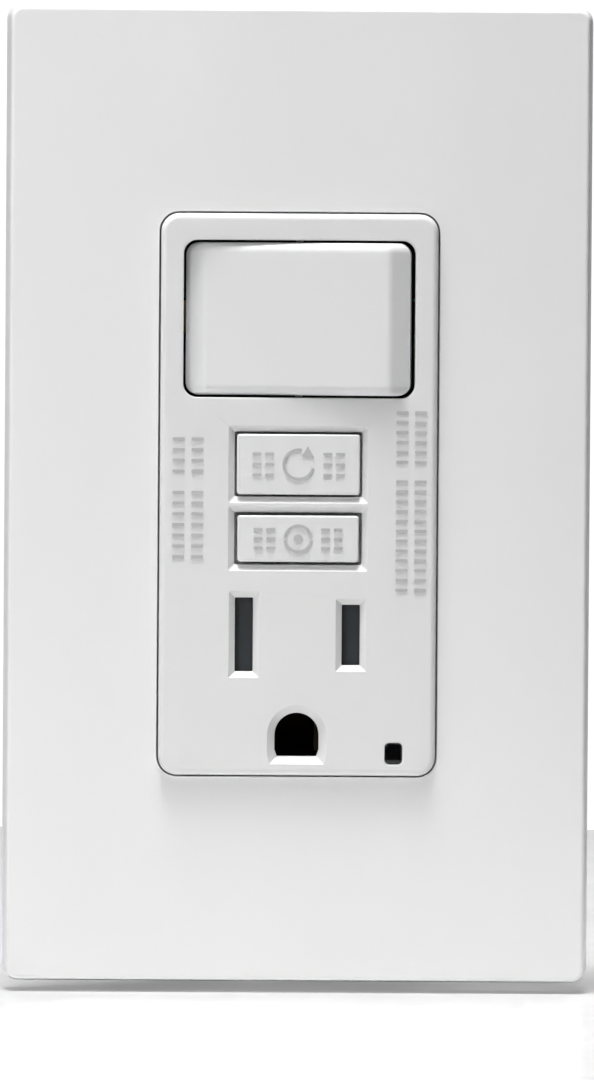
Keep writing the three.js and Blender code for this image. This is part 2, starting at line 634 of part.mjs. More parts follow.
bothSides((side) => bothSides((hand) => {
  const name = `housing_screw_${side > 0 ? 'top' : 'bottom'}_${hand > 0 ? 'right' : 'left'}`;
  const length = BOSS.seat - POST.end;
  const body = screw({ head: 2.1, headHeight: 1.8, shank: POST.screw, length, cross: true, slot: 0.6 });
  const seat = groupAt([hand * POST.x, BOSS.seat + TOUCH, side * POST.z], [Math.PI, 0, 0]);
  place(name, body, MATERIAL.zincSteel, seat);
}));

// ---------------------------------------------------------------- wire terminals

// The flat plate of a terminal, with the threaded hole for its screw.
function terminalPlate(hand, z, reach = {}) {
  const { inner, thick, y, half, hole } = TERMINAL;
  const { low = -half, high = half, front = y - half } = reach;
  const [x0, x1] = hand > 0 ? [inner, inner + thick] : [-inner - thick, -inner];
  const plate = box([x0, front, z + low], [x1, y + half, z + high]);
  return cut(plate, rod('x', hole, Math.min(hand * 5, hand * 25), Math.max(hand * 5, hand * 25), [y, z]));
}

// A box given for the right side, or its mirror image for the left.
function handedBox(hand, [x0, y0, z0], [x1, y1, z1]) {
  return hand > 0 ? box([x0, y0, z0], [x1, y1, z1]) : box([-x1, y0, z0], [-x0, y1, z1]);
}

// A line terminal runs behind the coils, forward through them, and up to the root of its contact arm.
function lineTerminal(hand) {
  const z = -TERMINAL.z;
  const outer = TERMINAL.inner + TERMINAL.thick;
  const backFace = BOARD.front - 0.2;
  const armBack = ARM.front + ARM.thick;
  return join(
    terminalPlate(hand, z),
    handedBox(hand, [TERMINAL.inner, 17, -21.8], [outer, backFace, -19]),
    handedBox(hand, [1.0, backFace - 0.5, -22], [outer, backFace, -20]),
    handedBox(hand, [1.0, 13.6, -21.7], [2.4, backFace, -20.3]),
    handedBox(hand, [1.0, 13.5, -22], [3.4, 14.2, -12.4]),
    handedBox(hand, [1.0, 13.5, -13.4], [3.4, armBack, -12.4]),
    handedBox(hand, [1.0, ARM.front, -13.4], [ARM.x + ARM.halfWidth, armBack, ARM.root - GAP]),
  );
}

// The feed terminal carries the fulcrum that the switch lever rocks on, between two ears.
function feedTerminal() {
  const z = SWITCH.z;
  const ears = [-1, 1].map((side) => {
    const inner = LEVER.halfWidth + 0.35;
    const lip = { width: 2.4, height: 0.65, corner: 0.1, steps: 1, z: z + side * (inner + 0.325) };
    return block(lip, 2.6, 7.4);
  });
  return join(
    terminalPlate(1, TERMINAL.z, { high: z + 2 - TERMINAL.z, front: 6.6 }),
    box([-1.2, 6.6, z - 2], [TERMINAL.inner + 0.5, 7.4, z + 2]),
    box([-1.2, 6.6, z - 3.6], [1.2, 7.4, z + 3.6]),
    box([-0.5, 4.4, z - 2], [0.5, 7, z + 2]),
    ...ears,
  );
}

// The load terminal carries the fixed contact of the switch.
function loadTerminal() {
  const z = SWITCH.z;
  return join(
    terminalPlate(-1, TERMINAL.z, { high: z + 2 - TERMINAL.z, front: 6.6 }),
    box([-TERMINAL.inner - 0.5, 6.6, z - 2], [LEVER.contact + 1.7, 7.4, z + 2]),
    rod('y', LEVER.pad, 5.8, 7, [LEVER.contact, z]),
  );
}

// A pressure plate with two grooves for wires, pulled in by the terminal's screw.
function clampPlate(hand, z) {
  const { clamp, clampThick, y, hole } = TERMINAL;
  const plate = handedBox(hand, [clamp, y - 4.4, z - 5], [clamp + clampThick, y + 4.4, z + 5]);
  const grooves = [-3.3, 3.3].map((offset) => rod('y', 0.7, -FAR, FAR, [hand * clamp, z + offset], 0.7, 8));
  return cut(plate, ...grooves, rod('x', hole, Math.min(0, hand * FAR), Math.max(0, hand * FAR), [y, z]));
}

const TERMINALS = [
  { name: 'line_hot', hand: 1, side: -1, plate: lineTerminal(1), metal: MATERIAL.brass },
  { name: 'line_neutral', hand: -1, side: -1, plate: lineTerminal(-1), metal: MATERIAL.nickel },
  { name: 'switch_feed', hand: 1, side: 1, plate: feedTerminal(), metal: MATERIAL.brass },
  { name: 'switch_load', hand: -1, side: 1, plate: loadTerminal(), metal: MATERIAL.brass },
];

const terminalScrew = () => screw({ head: 4.0, headHeight: 2.0, shank: 2.0, length: 4.4, slot: 1.1 });

for (const { name, hand, side, plate, metal } of TERMINALS) {
  const z = side * TERMINAL.z;
  const seat = TERMINAL.clamp + TERMINAL.clampThick + TOUCH;
  place(`${name}_terminal`, plate, metal);
  place(`${name}_clamp`, clampPlate(hand, z), MATERIAL.zincSteel);
  const screwPlace = groupAt([hand * seat, TERMINAL.y, z], [0, 0, hand * 90 * DEGREE]);
  place(`${name}_screw`, terminalScrew(), metal, screwPlace);
}

const groundScrewPlace = groupAt(
  [STRAP.earWidth / 2 + TOUCH, GROUND_SCREW.y, GROUND_SCREW.z],
  [0, 0, 90 * DEGREE],
);
place('ground_screw', terminalScrew(), MATERIAL.green, groundScrewPlace);

// ---------------------------------------------------------------- plug contacts

// The mirror image of a run of [x, y] points, in reverse, so that it carries on round the outline.
const mirrored = (points) => points.map(([x, y]) => [-x, y]).reverse();

// A blade contact: two spring leaves on a common base, and a tail to the fixed contact behind the tray.
function bladeContact(hand, bottom) {
  const outside = [[1.95, -0.8], [1.2, 1.2], [1.55, 4], [1.55, 11]];
  const inside = [[1.1, 10.5], [1.1, 4], [0.75, 1.2], [1.5, -0.8]];
  const section = [...outside, ...mirrored(outside), ...mirrored(inside), ...inside];
  const top = -13.3;
  const fork = prism('z', section.map(([x, y]) => [hand * SLOT.x + x, y]), bottom, top);
  const padFront = ARM.front - 0.85 - TOUCH;
  return join(
    fork,
    handedBox(hand, [SLOT.x - 1.4, 10.6, top - 0.6], [SLOT.x + 1.4, 14.0, top]),
    handedBox(hand, [5.5, 13.3, top - 0.6], [ARM.x + ARM.halfWidth, 14.0, -12.5]),
    handedBox(hand, [ARM.x - ARM.halfWidth, 13.3, -13], [ARM.x + ARM.halfWidth, 14.0, 5.4]),
    rod('y', ARM.pad, 13.6, padFront, [hand * ARM.x, RESET.z]),
  );
}

function groundContact() {
  const { z } = GROUND;
  const leaves = [-1, 1].map((hand) => handedBox(hand, [2.2, 0.3, z - 2.2], [2.7, 10.6, z + 2.2]));
  return join(
    ...leaves,
    box([-2.7, 10.0, z - 2.2], [2.7, 10.6, z + 2.2]),
    box([RIVET.x - 1.8, TOUCH, -32], [-2.2, 0.7, -29.4]),
    rod('y', RIVET.radius, STRAP.front - 0.3, 0.4, [RIVET.x, RIVET.z]),
    rod('y', 1.35, STRAP.front - 0.45, STRAP.front - TOUCH, [RIVET.x, RIVET.z]),
  );
}

place('hot_contact', bladeContact(1, SLOT.z - 3.25), MATERIAL.brass);
place('neutral_contact', bladeContact(-1, SLOT.z - 4.0), MATERIAL.nickel);
place('ground_contact', groundContact(), MATERIAL.brass);

// ---------------------------------------------------------------- trip mechanism

function contactArm(hand) {
  const { x, root, tip, front, thick, halfWidth, pad } = ARM;
  return join(
    handedBox(hand, [x - halfWidth, front, root], [x + halfWidth, front + thick, tip]),
    rod('y', pad, front - 0.85, front + 0.1, [hand * x, RESET.z]),
  );
}

function contactCarrier() {
  const { front, back, halfWidth, halfHeight, wing, wingFront } = CARRIER;
  const z = RESET.z;
  const body = join(
    box([-halfWidth, front, z - halfHeight], [halfWidth, back, z + halfHeight]),
    box([-wing, wingFront, z + 1], [wing, wingFront + 1.2, z + 3]),
  );
  const slotHalf = LATCH.halfWidth + GAP;
  const latchSlot = box([-slotHalf, LATCH.front - 0.2, -FAR], [slotHalf, LATCH.back + 0.2, FAR]);
  return cut(body, latchSlot, rod('y', 1.65, 0, FAR, [0, z]));
}

// The latch plate has a keyhole: narrow round the neck of the reset pin, and wide enough above to free it.
function latchPlate() {
  const { front, back, halfWidth, tabBottom, tabTop, travel } = LATCH;
  const z = RESET.z;
  const plate = join(
    box([-halfWidth, front, z - 4], [halfWidth, back, tabTop]),
    box([-halfWidth, front, tabBottom], [halfWidth, SOLENOID.y + 1.7, tabTop]),
  );
  const keyhole = join(
    rod('y', 1.65, 0, FAR, [0, z + travel]),
    box([-PIN.neck - 0.2, 0, z - 1.1], [PIN.neck + 0.2, FAR, z + travel]),
  );
  return cut(plate, keyhole);
}

function solenoidBobbin() {
  const { y, bottom, top, flange, tube, bore } = SOLENOID;
  const spool = join(
    rod('z', tube, bottom, top, [0, y]),
    rod('z', flange, bottom, bottom + 1, [0, y]),
    rod('z', flange, top - 1, top, [0, y]),
  );
  return cut(spool, rod('z', bore, 0, FAR, [0, y]));
}

function solenoidCoil() {
  const { y, bottom, top, flange, tube } = SOLENOID;
  const winding = rod('z', flange - 0.4, bottom + 1.2, top - 1.2, [0, y]);
  return cut(winding, rod('z', tube + 0.2, 0, FAR, [0, y]));
}

function solenoidPlunger() {
  const { y, plunger, cap } = SOLENOID;
  return join(
    rod('z', plunger, LATCH.tabTop + 0.1, cap + 0.4, [0, y]),
    rod('z', 2.7, cap, cap + 0.8, [0, y]),
  );
}

place('contact_carrier', contactCarrier(), MATERIAL.trayBlack);
place('latch_plate', latchPlate(), MATERIAL.zincSteel);
place('moving_arm_hot', contactArm(1), MATERIAL.bronze);
place('moving_arm_neutral', contactArm(-1), MATERIAL.bronze);
place('solenoid_bobbin', solenoidBobbin(), MATERIAL.bracketWhite);
place('solenoid_coil', solenoidCoil(), MATERIAL.copper);
place('solenoid_plunger', solenoidPlunger(), MATERIAL.zincSteel);
const plungerSpringPlace = groupAt([0, SOLENOID.y, SOLENOID.top + TOUCH], [90 * DEGREE, 0, 0]);
const plungerSpring = coilSpring(2.05, 0.22, SOLENOID.cap - SOLENOID.top - 2 * TOUCH, 4);
place('plunger_spring', plungerSpring, MATERIAL.zincSteel, plungerSpringPlace);

// ---------------------------------------------------------------- circuit board and what is on it

function legs(spots, radius, from) {
  return spots.map((at) => rod('y', radius, from, BOARD.front - TOUCH, at, radius, 6));
}

function ringCoil([from, to]) {
  const { outer, inner } = COIL;
  const round = 0.6;
  const profile = [
    [inner, from + round], [inner + round, from], [outer - round, from], [outer, from + round],
    [outer, to - round], [outer - round, to], [inner + round, to], [inner, to - round],
    [inner, from + round],
  ];
  return turned(profile, 20);
}

place('circuit_board', block(BOARD, BOARD.front, BOARD.back), MATERIAL.board);
COIL.spans.forEach((span, i) => {
  const name = i === 0 ? 'sense_coil' : 'grounded_neutral_coil';
  place(name, ringCoil(span), MATERIAL.epoxy, groupAt([0, 0, COIL.z]));
});

const varistor = join(
  rod('x', 4.3, -11.6, -8.4, [17.8, 21]),
  ...legs([[-10.9, 19.2], [-9.1, 22.8]], 0.4, 20),
);
place('varistor', varistor, MATERIAL.varistorBlue);

function controllerChip() {
  const body = box([7.4, 20.6, 14], [11.6, 22.2, 24]);
  const pins = [];
  for (let row = 0; row < 5; row++) {
    const z = 15.2 + row * 1.9;
    pins.push(box([6.4, 21.4, z - 0.25], [12.6, 21.7, z + 0.25]));
    pins.push(box([6.4, 21.4, z - 0.25], [6.7, BOARD.front - TOUCH, z + 0.25]));
    pins.push(box([12.3, 21.4, z - 0.25], [12.6, BOARD.front - TOUCH, z + 0.25]));
  }
  return join(body, ...pins);
}

place('controller_chip', controllerChip(), MATERIAL.epoxy);
const capacitor = join(
  block({ width: 5.2, height: 5.6, corner: 0.6, x: 10.2, z: 28.2 }, 14.6, 21.8),
  ...legs([[8.9, 28.2], [11.5, 28.2]], 0.35, 21),
);
place('filter_capacitor', capacitor, MATERIAL.filmYellow);
const led = join(
  rod('y', 1.2, 20.4, BOARD.front - 0.5, [LAMP.x, LAMP.z]),
  rod('y', 1.5, BOARD.front - 0.8, BOARD.front - TOUCH, [LAMP.x, LAMP.z]),
);
place('indicator_led', led, MATERIAL.green);

export default device;
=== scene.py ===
"""A ground-fault outlet in a screwless plate: the looks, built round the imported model.

The pieces are drawn in millimetres, which turn into metres where a mesh is made. The floor, the lights and
the camera are placed in metres. The frame is the model's own: X is right, Y goes into the wall and Z is up,
so the face looks along -Y.
"""

import json
import math

import bmesh
import bpy
from mathutils import Matrix, Vector, geometry


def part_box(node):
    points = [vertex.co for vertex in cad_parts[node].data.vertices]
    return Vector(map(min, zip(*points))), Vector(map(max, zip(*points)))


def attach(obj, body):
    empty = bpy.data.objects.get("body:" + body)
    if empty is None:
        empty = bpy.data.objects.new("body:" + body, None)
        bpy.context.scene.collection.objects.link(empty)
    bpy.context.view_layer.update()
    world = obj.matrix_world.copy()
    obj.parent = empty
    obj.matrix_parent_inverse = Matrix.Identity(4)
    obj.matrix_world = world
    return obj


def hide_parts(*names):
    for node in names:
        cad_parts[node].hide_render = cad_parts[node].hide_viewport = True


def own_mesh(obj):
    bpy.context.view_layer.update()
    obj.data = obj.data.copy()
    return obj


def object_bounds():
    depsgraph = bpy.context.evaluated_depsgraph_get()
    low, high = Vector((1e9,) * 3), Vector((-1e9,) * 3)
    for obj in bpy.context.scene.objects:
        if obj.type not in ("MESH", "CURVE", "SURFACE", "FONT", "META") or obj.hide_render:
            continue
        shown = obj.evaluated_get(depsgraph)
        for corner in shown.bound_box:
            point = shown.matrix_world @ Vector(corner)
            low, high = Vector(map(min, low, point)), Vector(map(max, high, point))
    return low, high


MM = 0.001

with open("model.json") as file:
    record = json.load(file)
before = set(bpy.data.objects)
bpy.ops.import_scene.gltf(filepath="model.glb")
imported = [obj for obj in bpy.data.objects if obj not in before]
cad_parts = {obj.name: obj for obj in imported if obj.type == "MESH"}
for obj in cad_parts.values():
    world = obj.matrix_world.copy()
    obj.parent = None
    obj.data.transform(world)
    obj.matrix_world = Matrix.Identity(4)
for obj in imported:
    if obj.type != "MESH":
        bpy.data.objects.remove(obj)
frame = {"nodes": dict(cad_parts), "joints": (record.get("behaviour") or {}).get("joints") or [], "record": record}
CAD_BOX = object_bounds()

# ------------------------------------------------------------------ sizes and places not in the frame

CORNER_STEPS = 10
EDGE_STEPS = 7

PLATE_CORNER = 2.0
PLATE_SKIN = 1.8
PLATE_DRAFT = 0.5
PLATE_EDGE = 0.52
WINDOW_GAP = 0.2

FACE_WIDTH = 32.9
FACE_HEIGHT = 66.7
FACE_CORNER = 2.2
FACE_EDGE = 0.75
FACE_SKIN = 2.0
FACE_WALL = 1.6
FLANGE_FRONT = -3.2
FLANGE_BACK = -1.5
FLANGE_CORNER = 3.0
POST_X = 18.2
POST_Z = 31.5
POST_RADIUS = 2.1
POST_BORE = 1.35

SWITCH_OPENING = (27.5, 18.7)
SWITCH_CORNER = 1.65
SWITCH_EDGE = 0.14
BUTTON_GAP = 0.27
BUTTON_RIM = 0.9
BUTTON_RIM_HEIGHT = 0.65
BUTTON_RIM_FRONT = -5.1
BEVEL = 0.72
BEVEL_DEPTH = 0.8
SLOT_WIDTH = 2.15
NEUTRAL_HEIGHT = 8.8
HOT_HEIGHT = 7.2
HOT_SLOT_INSET = 1.95
GROUND_RADIUS = 2.62
GROUND_SIDE_DROP = 1.75
GROUND_FOOT = 2.33
GROUND_FOOT_DROP = 2.55
GROUND_BEVEL = 0.9
GROUND_BEVEL_DEPTH = 0.95
LAMP_OPENING = (2.1, 2.58)
LAMP_CORNER = 0.55
LAMP_EDGE = 0.08
LAMP_BACK = -5.4
MARK_HEIGHT = 0.12


# ------------------------------------------------------------------ outlines


def box_mm(node):
    """The lowest and highest corner of a CAD node, in millimetres."""
    low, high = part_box(node)
    return low / MM, high / MM


def middle(node):
    low, high = box_mm(node)
    return (low + high) / 2


def rounded(width, height, radius, centre=(0.0, 0.0), steps=CORNER_STEPS):
    """The points of a rounded rectangle, counter-clockwise as seen from the room."""
    radius = max(radius, 0.02)
    points = []
    for quarter, (sx, sz) in enumerate(((1, 1), (-1, 1), (-1, -1), (1, -1))):
        for step in range(steps + 1):
            angle = (quarter + step / steps) * math.pi / 2
            points.append((
                centre[0] + sx * (width / 2 - radius) + radius * math.cos(angle),
                centre[1] + sz * (height / 2 - radius) + radius * math.sin(angle),
            ))
    return points


def outline(width, height, radius, centre=(0.0, 0.0), steps=CORNER_STEPS, mitred=False):
    """A function that draws a rounded rectangle in by a distance. A mitred one keeps its corner radius."""

    def inset(distance):
        corner = radius if mitred else radius - distance
        return rounded(width - 2 * distance, height - 2 * distance, corner, centre, steps)

    return inset


def arch(centre, steps=20):
    """A function that gives the ground hole's outline, an arch over a flat bottom, drawn in by a distance."""

    def inset(distance):
        radius = GROUND_RADIUS - distance
        foot = GROUND_FOOT - distance
        side_drop = GROUND_SIDE_DROP - distance * 0.5
        foot_drop = GROUND_FOOT_DROP - distance
        points = []
        for step in range(steps + 1):
            angle = math.pi * step / steps
            points.append((centre[0] + radius * math.cos(angle), centre[1] + radius * math.sin(angle)))
        for x, drop in ((-radius, side_drop), (-foot, foot_drop), (foot, foot_drop), (radius, side_drop)):
            points.append((centre[0] + x, centre[1] - drop))
        return points

    return inset


def rounded_edge(inset, y, radius, towards, start=0.0, steps=EDGE_STEPS):
    """Rings of an edge that turns from a side wall into a face at y, which looks along towards."""
    rings = []
    for step in range(steps + 1):
        angle = math.pi / 2 * step / steps
        rings.append((
            inset(start + radius * (1 - math.cos(angle))),
            y - towards * radius * (1 - math.sin(angle)),
        ))
    return rings


# ------------------------------------------------------------------ meshes


class Shell:
    """Collects rings of points, the bands between them and the flat fills that close them."""

    def __init__(self):
        self.points = []
        self.faces = []

    def ring(self, points, y=None):
        start = len(self.points)
        for point in points:
            self.points.append(tuple(point) if y is None else (point[0], y, point[1]))
        return list(range(start, len(self.points)))

    def band(self, a, b):
        for i in range(len(a)):
            j = (i + 1) % len(a)
            self.faces.append((a[i], a[j], b[j], b[i]))

    def rings(self, rings):
        """Joins a list of (points, y) rings and returns the first and the last."""
        loops = [self.ring(points, y) for points, y in rings]
        for a, b in zip(loops, loops[1:]):
            self.band(a, b)
        return loops[0], loops[-1]

    def fill(self, outer, *holes):
        """Closes the flat region between an outer loop and any holes in it."""
        loops = [outer, *holes]
        flat = [[Vector((self.points[i][0], self.points[i][2], 0)) for i in loop] for loop in loops]
        order = [i for loop in loops for i in loop]
        for triangle in geometry.tessellate_polygon(flat):
            self.faces.append(tuple(order[i] for i in triangle))

    def box(self, low, high):
        """Adds a plain box."""
        x0, y0, z0 = low
        x1, y1, z1 = high
        corners = [(x0, z0), (x1, z0), (x1, z1), (x0, z1)]
        front, back = self.rings([(corners, y0), (corners, y1)])
        self.fill(front)
        self.fill(back)

    def solid(self, rings):
        """Adds a closed solid through a list of (points, y) rings."""
        first, last = self.rings(rings)
        self.fill(first)
        self.fill(last)

    def turned(self, profile, place, sides=40):
        """Adds a part turned about its own Y axis, from (radius, y) points, put in place by a matrix."""
        loops = []
        for radius, y in profile:
            if radius < 1e-6:
                loops.append(self.ring([place @ Vector((0, y, 0))]))
                continue
            turn = [2 * math.pi * i / sides for i in range(sides)]
            circle = [Vector((radius * math.cos(t), y, radius * math.sin(t))) for t in turn]
            loops.append(self.ring([place @ point for point in circle]))
        for a, b in zip(loops, loops[1:]):
            if len(a) == 1 or len(b) == 1:
                tip, rim = (a, b) if len(a) == 1 else (b, a)
                for i in range(len(rim)):
                    self.faces.append((tip[0], rim[i], rim[(i + 1) % len(rim)]))
            else:
                self.band(a, b)

    def build(self, name, sharp=32):
        """Makes the object, with smooth shading except across edges sharper than an angle in degrees."""
        mesh = bpy.data.meshes.new(name)
        mesh.from_pydata([[c * MM for c in p] for p in self.points], [], self.faces)
        work = bmesh.new()
        work.from_mesh(mesh)
        bmesh.ops.remove_doubles(work, verts=work.verts, dist=1e-8)
        bmesh.ops.dissolve_degenerate(work, edges=work.edges, dist=1e-9)
        bmesh.ops.recalc_face_normals(work, faces=work.faces)
        work.to_mesh(mesh)
        work.free()
        mesh.polygons.foreach_set("use_smooth", [True] * len(mesh.polygons))
        mesh.set_sharp_from_angle(angle=math.radians(sharp))
        piece = bpy.data.objects.new(name, mesh)
        bpy.context.scene.collection.objects.link(piece)
        return piece


def keep_modifiers(piece):
    """Replaces a piece's mesh with what its modifiers make of it."""
    graph = bpy.context.evaluated_depsgraph_get()
    made = bpy.data.meshes.new_from_object(piece.evaluated_get(graph))
    piece.modifiers.clear()
    piece.data = made
    return piece


def weight_normals(piece):
    """Lets the large flat faces set the normals where they meet small rounded edges."""
    change = piece.modifiers.new("weights", "WEIGHTED_NORMAL")
    change.mode = "FACE_AREA"
    change.weight = 100
    change.keep_sharp = True
    return keep_modifiers(piece)


def finish_piece(piece, material, body, slot, *nodes):
    """Gives a piece its material and its body, and hides the CAD nodes that it stands for. The slot is not used.
    """
    piece.data.materials.clear()
    piece.data.materials.append(material)
    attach(piece, body)
    if nodes:
        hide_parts(*nodes)
    return piece


# ------------------------------------------------------------------ materials


PATTERN_RANGE = (0.3, 0.7)


def mapped(tree, source, before, after):
    """Maps a value from one range onto another, in a node tree."""
    node = tree.nodes.new("ShaderNodeMapRange")
    node.inputs["From Min"].default_value, node.inputs["From Max"].default_value = before
    node.inputs["To Min"].default_value, node.inputs["To Max"].default_value = after
    tree.links.new(source, node.inputs["Value"])
    return node.outputs["Result"]


class Nodes:
    """A short way to write a material's node tree."""

    def __init__(self, name):
        self.material = bpy.data.materials.new(name)
        self.material.use_nodes = True
        self.tree = self.material.node_tree
        self.tree.nodes.clear()
        self.output = self.tree.nodes.new("ShaderNodeOutputMaterial")
        self.shader = self.add("ShaderNodeBsdfPrincipled")
        self.link(self.shader.outputs["BSDF"], self.output.inputs["Surface"])
        self.place = self.add("ShaderNodeTexCoord").outputs["Object"]

    def add(self, kind, **values):
        node = self.tree.nodes.new(kind)
        for key, value in values.items():
            setattr(node, key, value)
        return node

    def link(self, source, target):
        self.tree.links.new(source, target)

    def noise(self, scale, detail=3.0, stretch=(1, 1, 1)):
        """A noise pattern; scale is in features per metre."""
        mapping = self.add("ShaderNodeMapping")
        mapping.inputs["Scale"].default_value = stretch
        self.link(self.place, mapping.inputs["Vector"])
        texture = self.add("ShaderNodeTexNoise")
        texture.inputs["Scale"].default_value = scale
        texture.inputs["Detail"].default_value = detail
        self.link(mapping.outputs["Vector"], texture.inputs["Vector"])
        return texture.outputs["Fac"]

    def spread(self, source, low, high):
        """Maps a pattern from its usual range to the range low to high."""
        return mapped(self.tree, source, PATTERN_RANGE, (low, high))

    def shades(self, source, dark, light):
        """A colour between two colours, by a pattern."""
        node = self.add("ShaderNodeValToRGB")
        for element, position, colour in zip(node.color_ramp.elements, PATTERN_RANGE, (dark, light)):
            element.position = position
            element.color = (*colour, 1)
        self.link(source, node.inputs["Fac"])
        return node.outputs["Color"]

    def bump(self, source, distance, strength=1.0):
        node = self.add("ShaderNodeBump")
        node.inputs["Distance"].default_value = distance
        node.inputs["Strength"].default_value = strength
        self.link(source, node.inputs["Height"])
        self.link(node.outputs["Normal"], self.shader.inputs["Normal"])

    def colour(self, source):
        self.link(source, self.shader.inputs["Base Color"])

    def rough(self, source):
        self.link(source, self.shader.inputs["Roughness"])


def scaled(colour, by):
    return tuple(min(1.0, c * by) for c in colour)


def plastic(name, colour, roughness, variation=0.012, grain=0.0, grain_size=4000.0):
    """Moulded plastic: faint flow marks in its colour and gloss, and a fine grain where the mould had one."""
    nodes = Nodes(name)
    flow = nodes.noise(60.0, 4.0, (1, 1, 0.4))
    nodes.colour(nodes.shades(flow, scaled(colour, 1 - variation), scaled(colour, 1 + variation)))
    nodes.rough(nodes.spread(nodes.noise(350.0, 4.0), roughness - 0.04, roughness + 0.04))
    if grain:
        nodes.bump(nodes.noise(grain_size, 2.0), grain * MM, 0.6)
    nodes.shader.inputs["IOR"].default_value = 1.5
    return nodes.material


def metal(name, colour, roughness, brushed=(1, 1, 1), variation=0.08):
    """Plated or bare metal with a faint grain along one direction, and uneven gloss."""
    nodes = Nodes(name)
    grain = nodes.noise(900.0, 5.0, brushed)
    nodes.colour(nodes.shades(grain, scaled(colour, 1 - variation), scaled(colour, 1 + variation)))
    nodes.rough(nodes.spread(nodes.noise(1400.0, 4.0, brushed), roughness - 0.06, roughness + 0.1))
    nodes.bump(grain, 0.004 * MM, 0.5)
    nodes.shader.inputs["Metallic"].default_value = 1.0
    return nodes.material


COVER_WHITE = plastic("cover_white", (0.815, 0.815, 0.815), 0.34)
FACE_WHITE = plastic("face_white", (0.745, 0.745, 0.745), 0.4)
KEY_WHITE = plastic("key_white", (0.75, 0.75, 0.755), 0.36)
# The raised marks are moulded in the same plastic as the keys and face; their darker grey is painted shade of the
# relief.
MARK_PAINTED_SHADE = plastic("marks_painted_shade", (0.48, 0.48, 0.485), 0.4)
BRACKET_WHITE = plastic("bracket_white", (0.66, 0.66, 0.64), 0.55, 0.02, 0.02)
HOUSING_GREY = plastic("housing_grey", (0.36, 0.37, 0.38), 0.5, 0.03, 0.03)
TRAY_BLACK = plastic("tray_black", (0.02, 0.02, 0.022), 0.55, 0.05, 0.02)
# The shutter plastic is a dark slate, made darker still as painted shade for the inside of the deep plug slots.
SHUTTER_DARK_AND_SHADE = plastic("shutter_grey", (0.024, 0.029, 0.033), 0.5, 0.04)
LENS_SMOKE = plastic("lens_smoke", (0.002, 0.002, 0.0025), 0.08, 0.0)
FIBRE = plastic("fibre", (0.22, 0.12, 0.06), 0.85, 0.15, 0.05, 1500.0)
BOARD_GREEN = plastic("board_green", (0.015, 0.11, 0.04), 0.4, 0.1)
BLACK_EPOXY = plastic("black_epoxy", (0.014, 0.014, 0.016), 0.5, 0.1, 0.02)
VARISTOR_BLUE = plastic("varistor_blue", (0.03, 0.09, 0.26), 0.4, 0.06)
FILM_YELLOW = plastic("film_yellow", (0.5, 0.36, 0.05), 0.4, 0.05)
LAMP_GREEN = plastic("lamp_green", (0.1, 0.45, 0.15), 0.15, 0.03)
ZINC_STEEL = metal("zinc_steel", (0.62, 0.63, 0.62), 0.36, (1, 1, 0.08))
SPRING_STEEL = metal("spring_steel", (0.5, 0.5, 0.51), 0.3)
GREEN_STEEL = metal("green_steel", (0.05, 0.3, 0.1), 0.35)
BRASS = metal("brass", (0.75, 0.53, 0.2), 0.3, (0.1, 1, 1))
NICKEL = metal("nickel_silver", (0.68, 0.66, 0.62), 0.26, (0.1, 1, 1))
BRONZE = metal("bronze", (0.62, 0.36, 0.17), 0.34, (1, 1, 0.1))
# Near-black brass: painted shade for brass parts in deep shadow, the ground contact behind the ground hole and a
# switch terminal seen through the rocker's gap.
BRASS_PAINTED_SHADE = metal("brass_painted_shade", (0.04, 0.03, 0.018), 0.55)
COPPER_WIRE = metal("copper_wire", (0.55, 0.19, 0.07), 0.35, (0.1, 0.1, 8))

SLOT_MATERIALS = {
    "cover_white": COVER_WHITE, "face_white": FACE_WHITE, "key_white": KEY_WHITE,
    "bracket_white": BRACKET_WHITE, "housing_grey": HOUSING_GREY, "tray_black": TRAY_BLACK,
    "shutter_grey": SHUTTER_DARK_AND_SHADE, "lens_smoke": LENS_SMOKE, "zinc_steel": ZINC_STEEL,
    "spring_steel": SPRING_STEEL, "green_steel": GREEN_STEEL, "brass": BRASS, "nickel_silver": NICKEL,
    "bronze": BRONZE, "copper_wire": COPPER_WIRE, "fibre": FIBRE, "board_green": BOARD_GREEN,
    "black_epoxy": BLACK_EPOXY, "varistor_blue": VARISTOR_BLUE, "film_yellow": FILM_YELLOW,
    "lamp_green": LAMP_GREEN,
}

for entry in frame["record"]["subparts"]:
    node = frame["nodes"][entry["node"]]
    node.data.materials.clear()
    node.data.materials.append(SLOT_MATERIALS[entry["material_slot"]])


# ------------------------------------------------------------------ cover plate


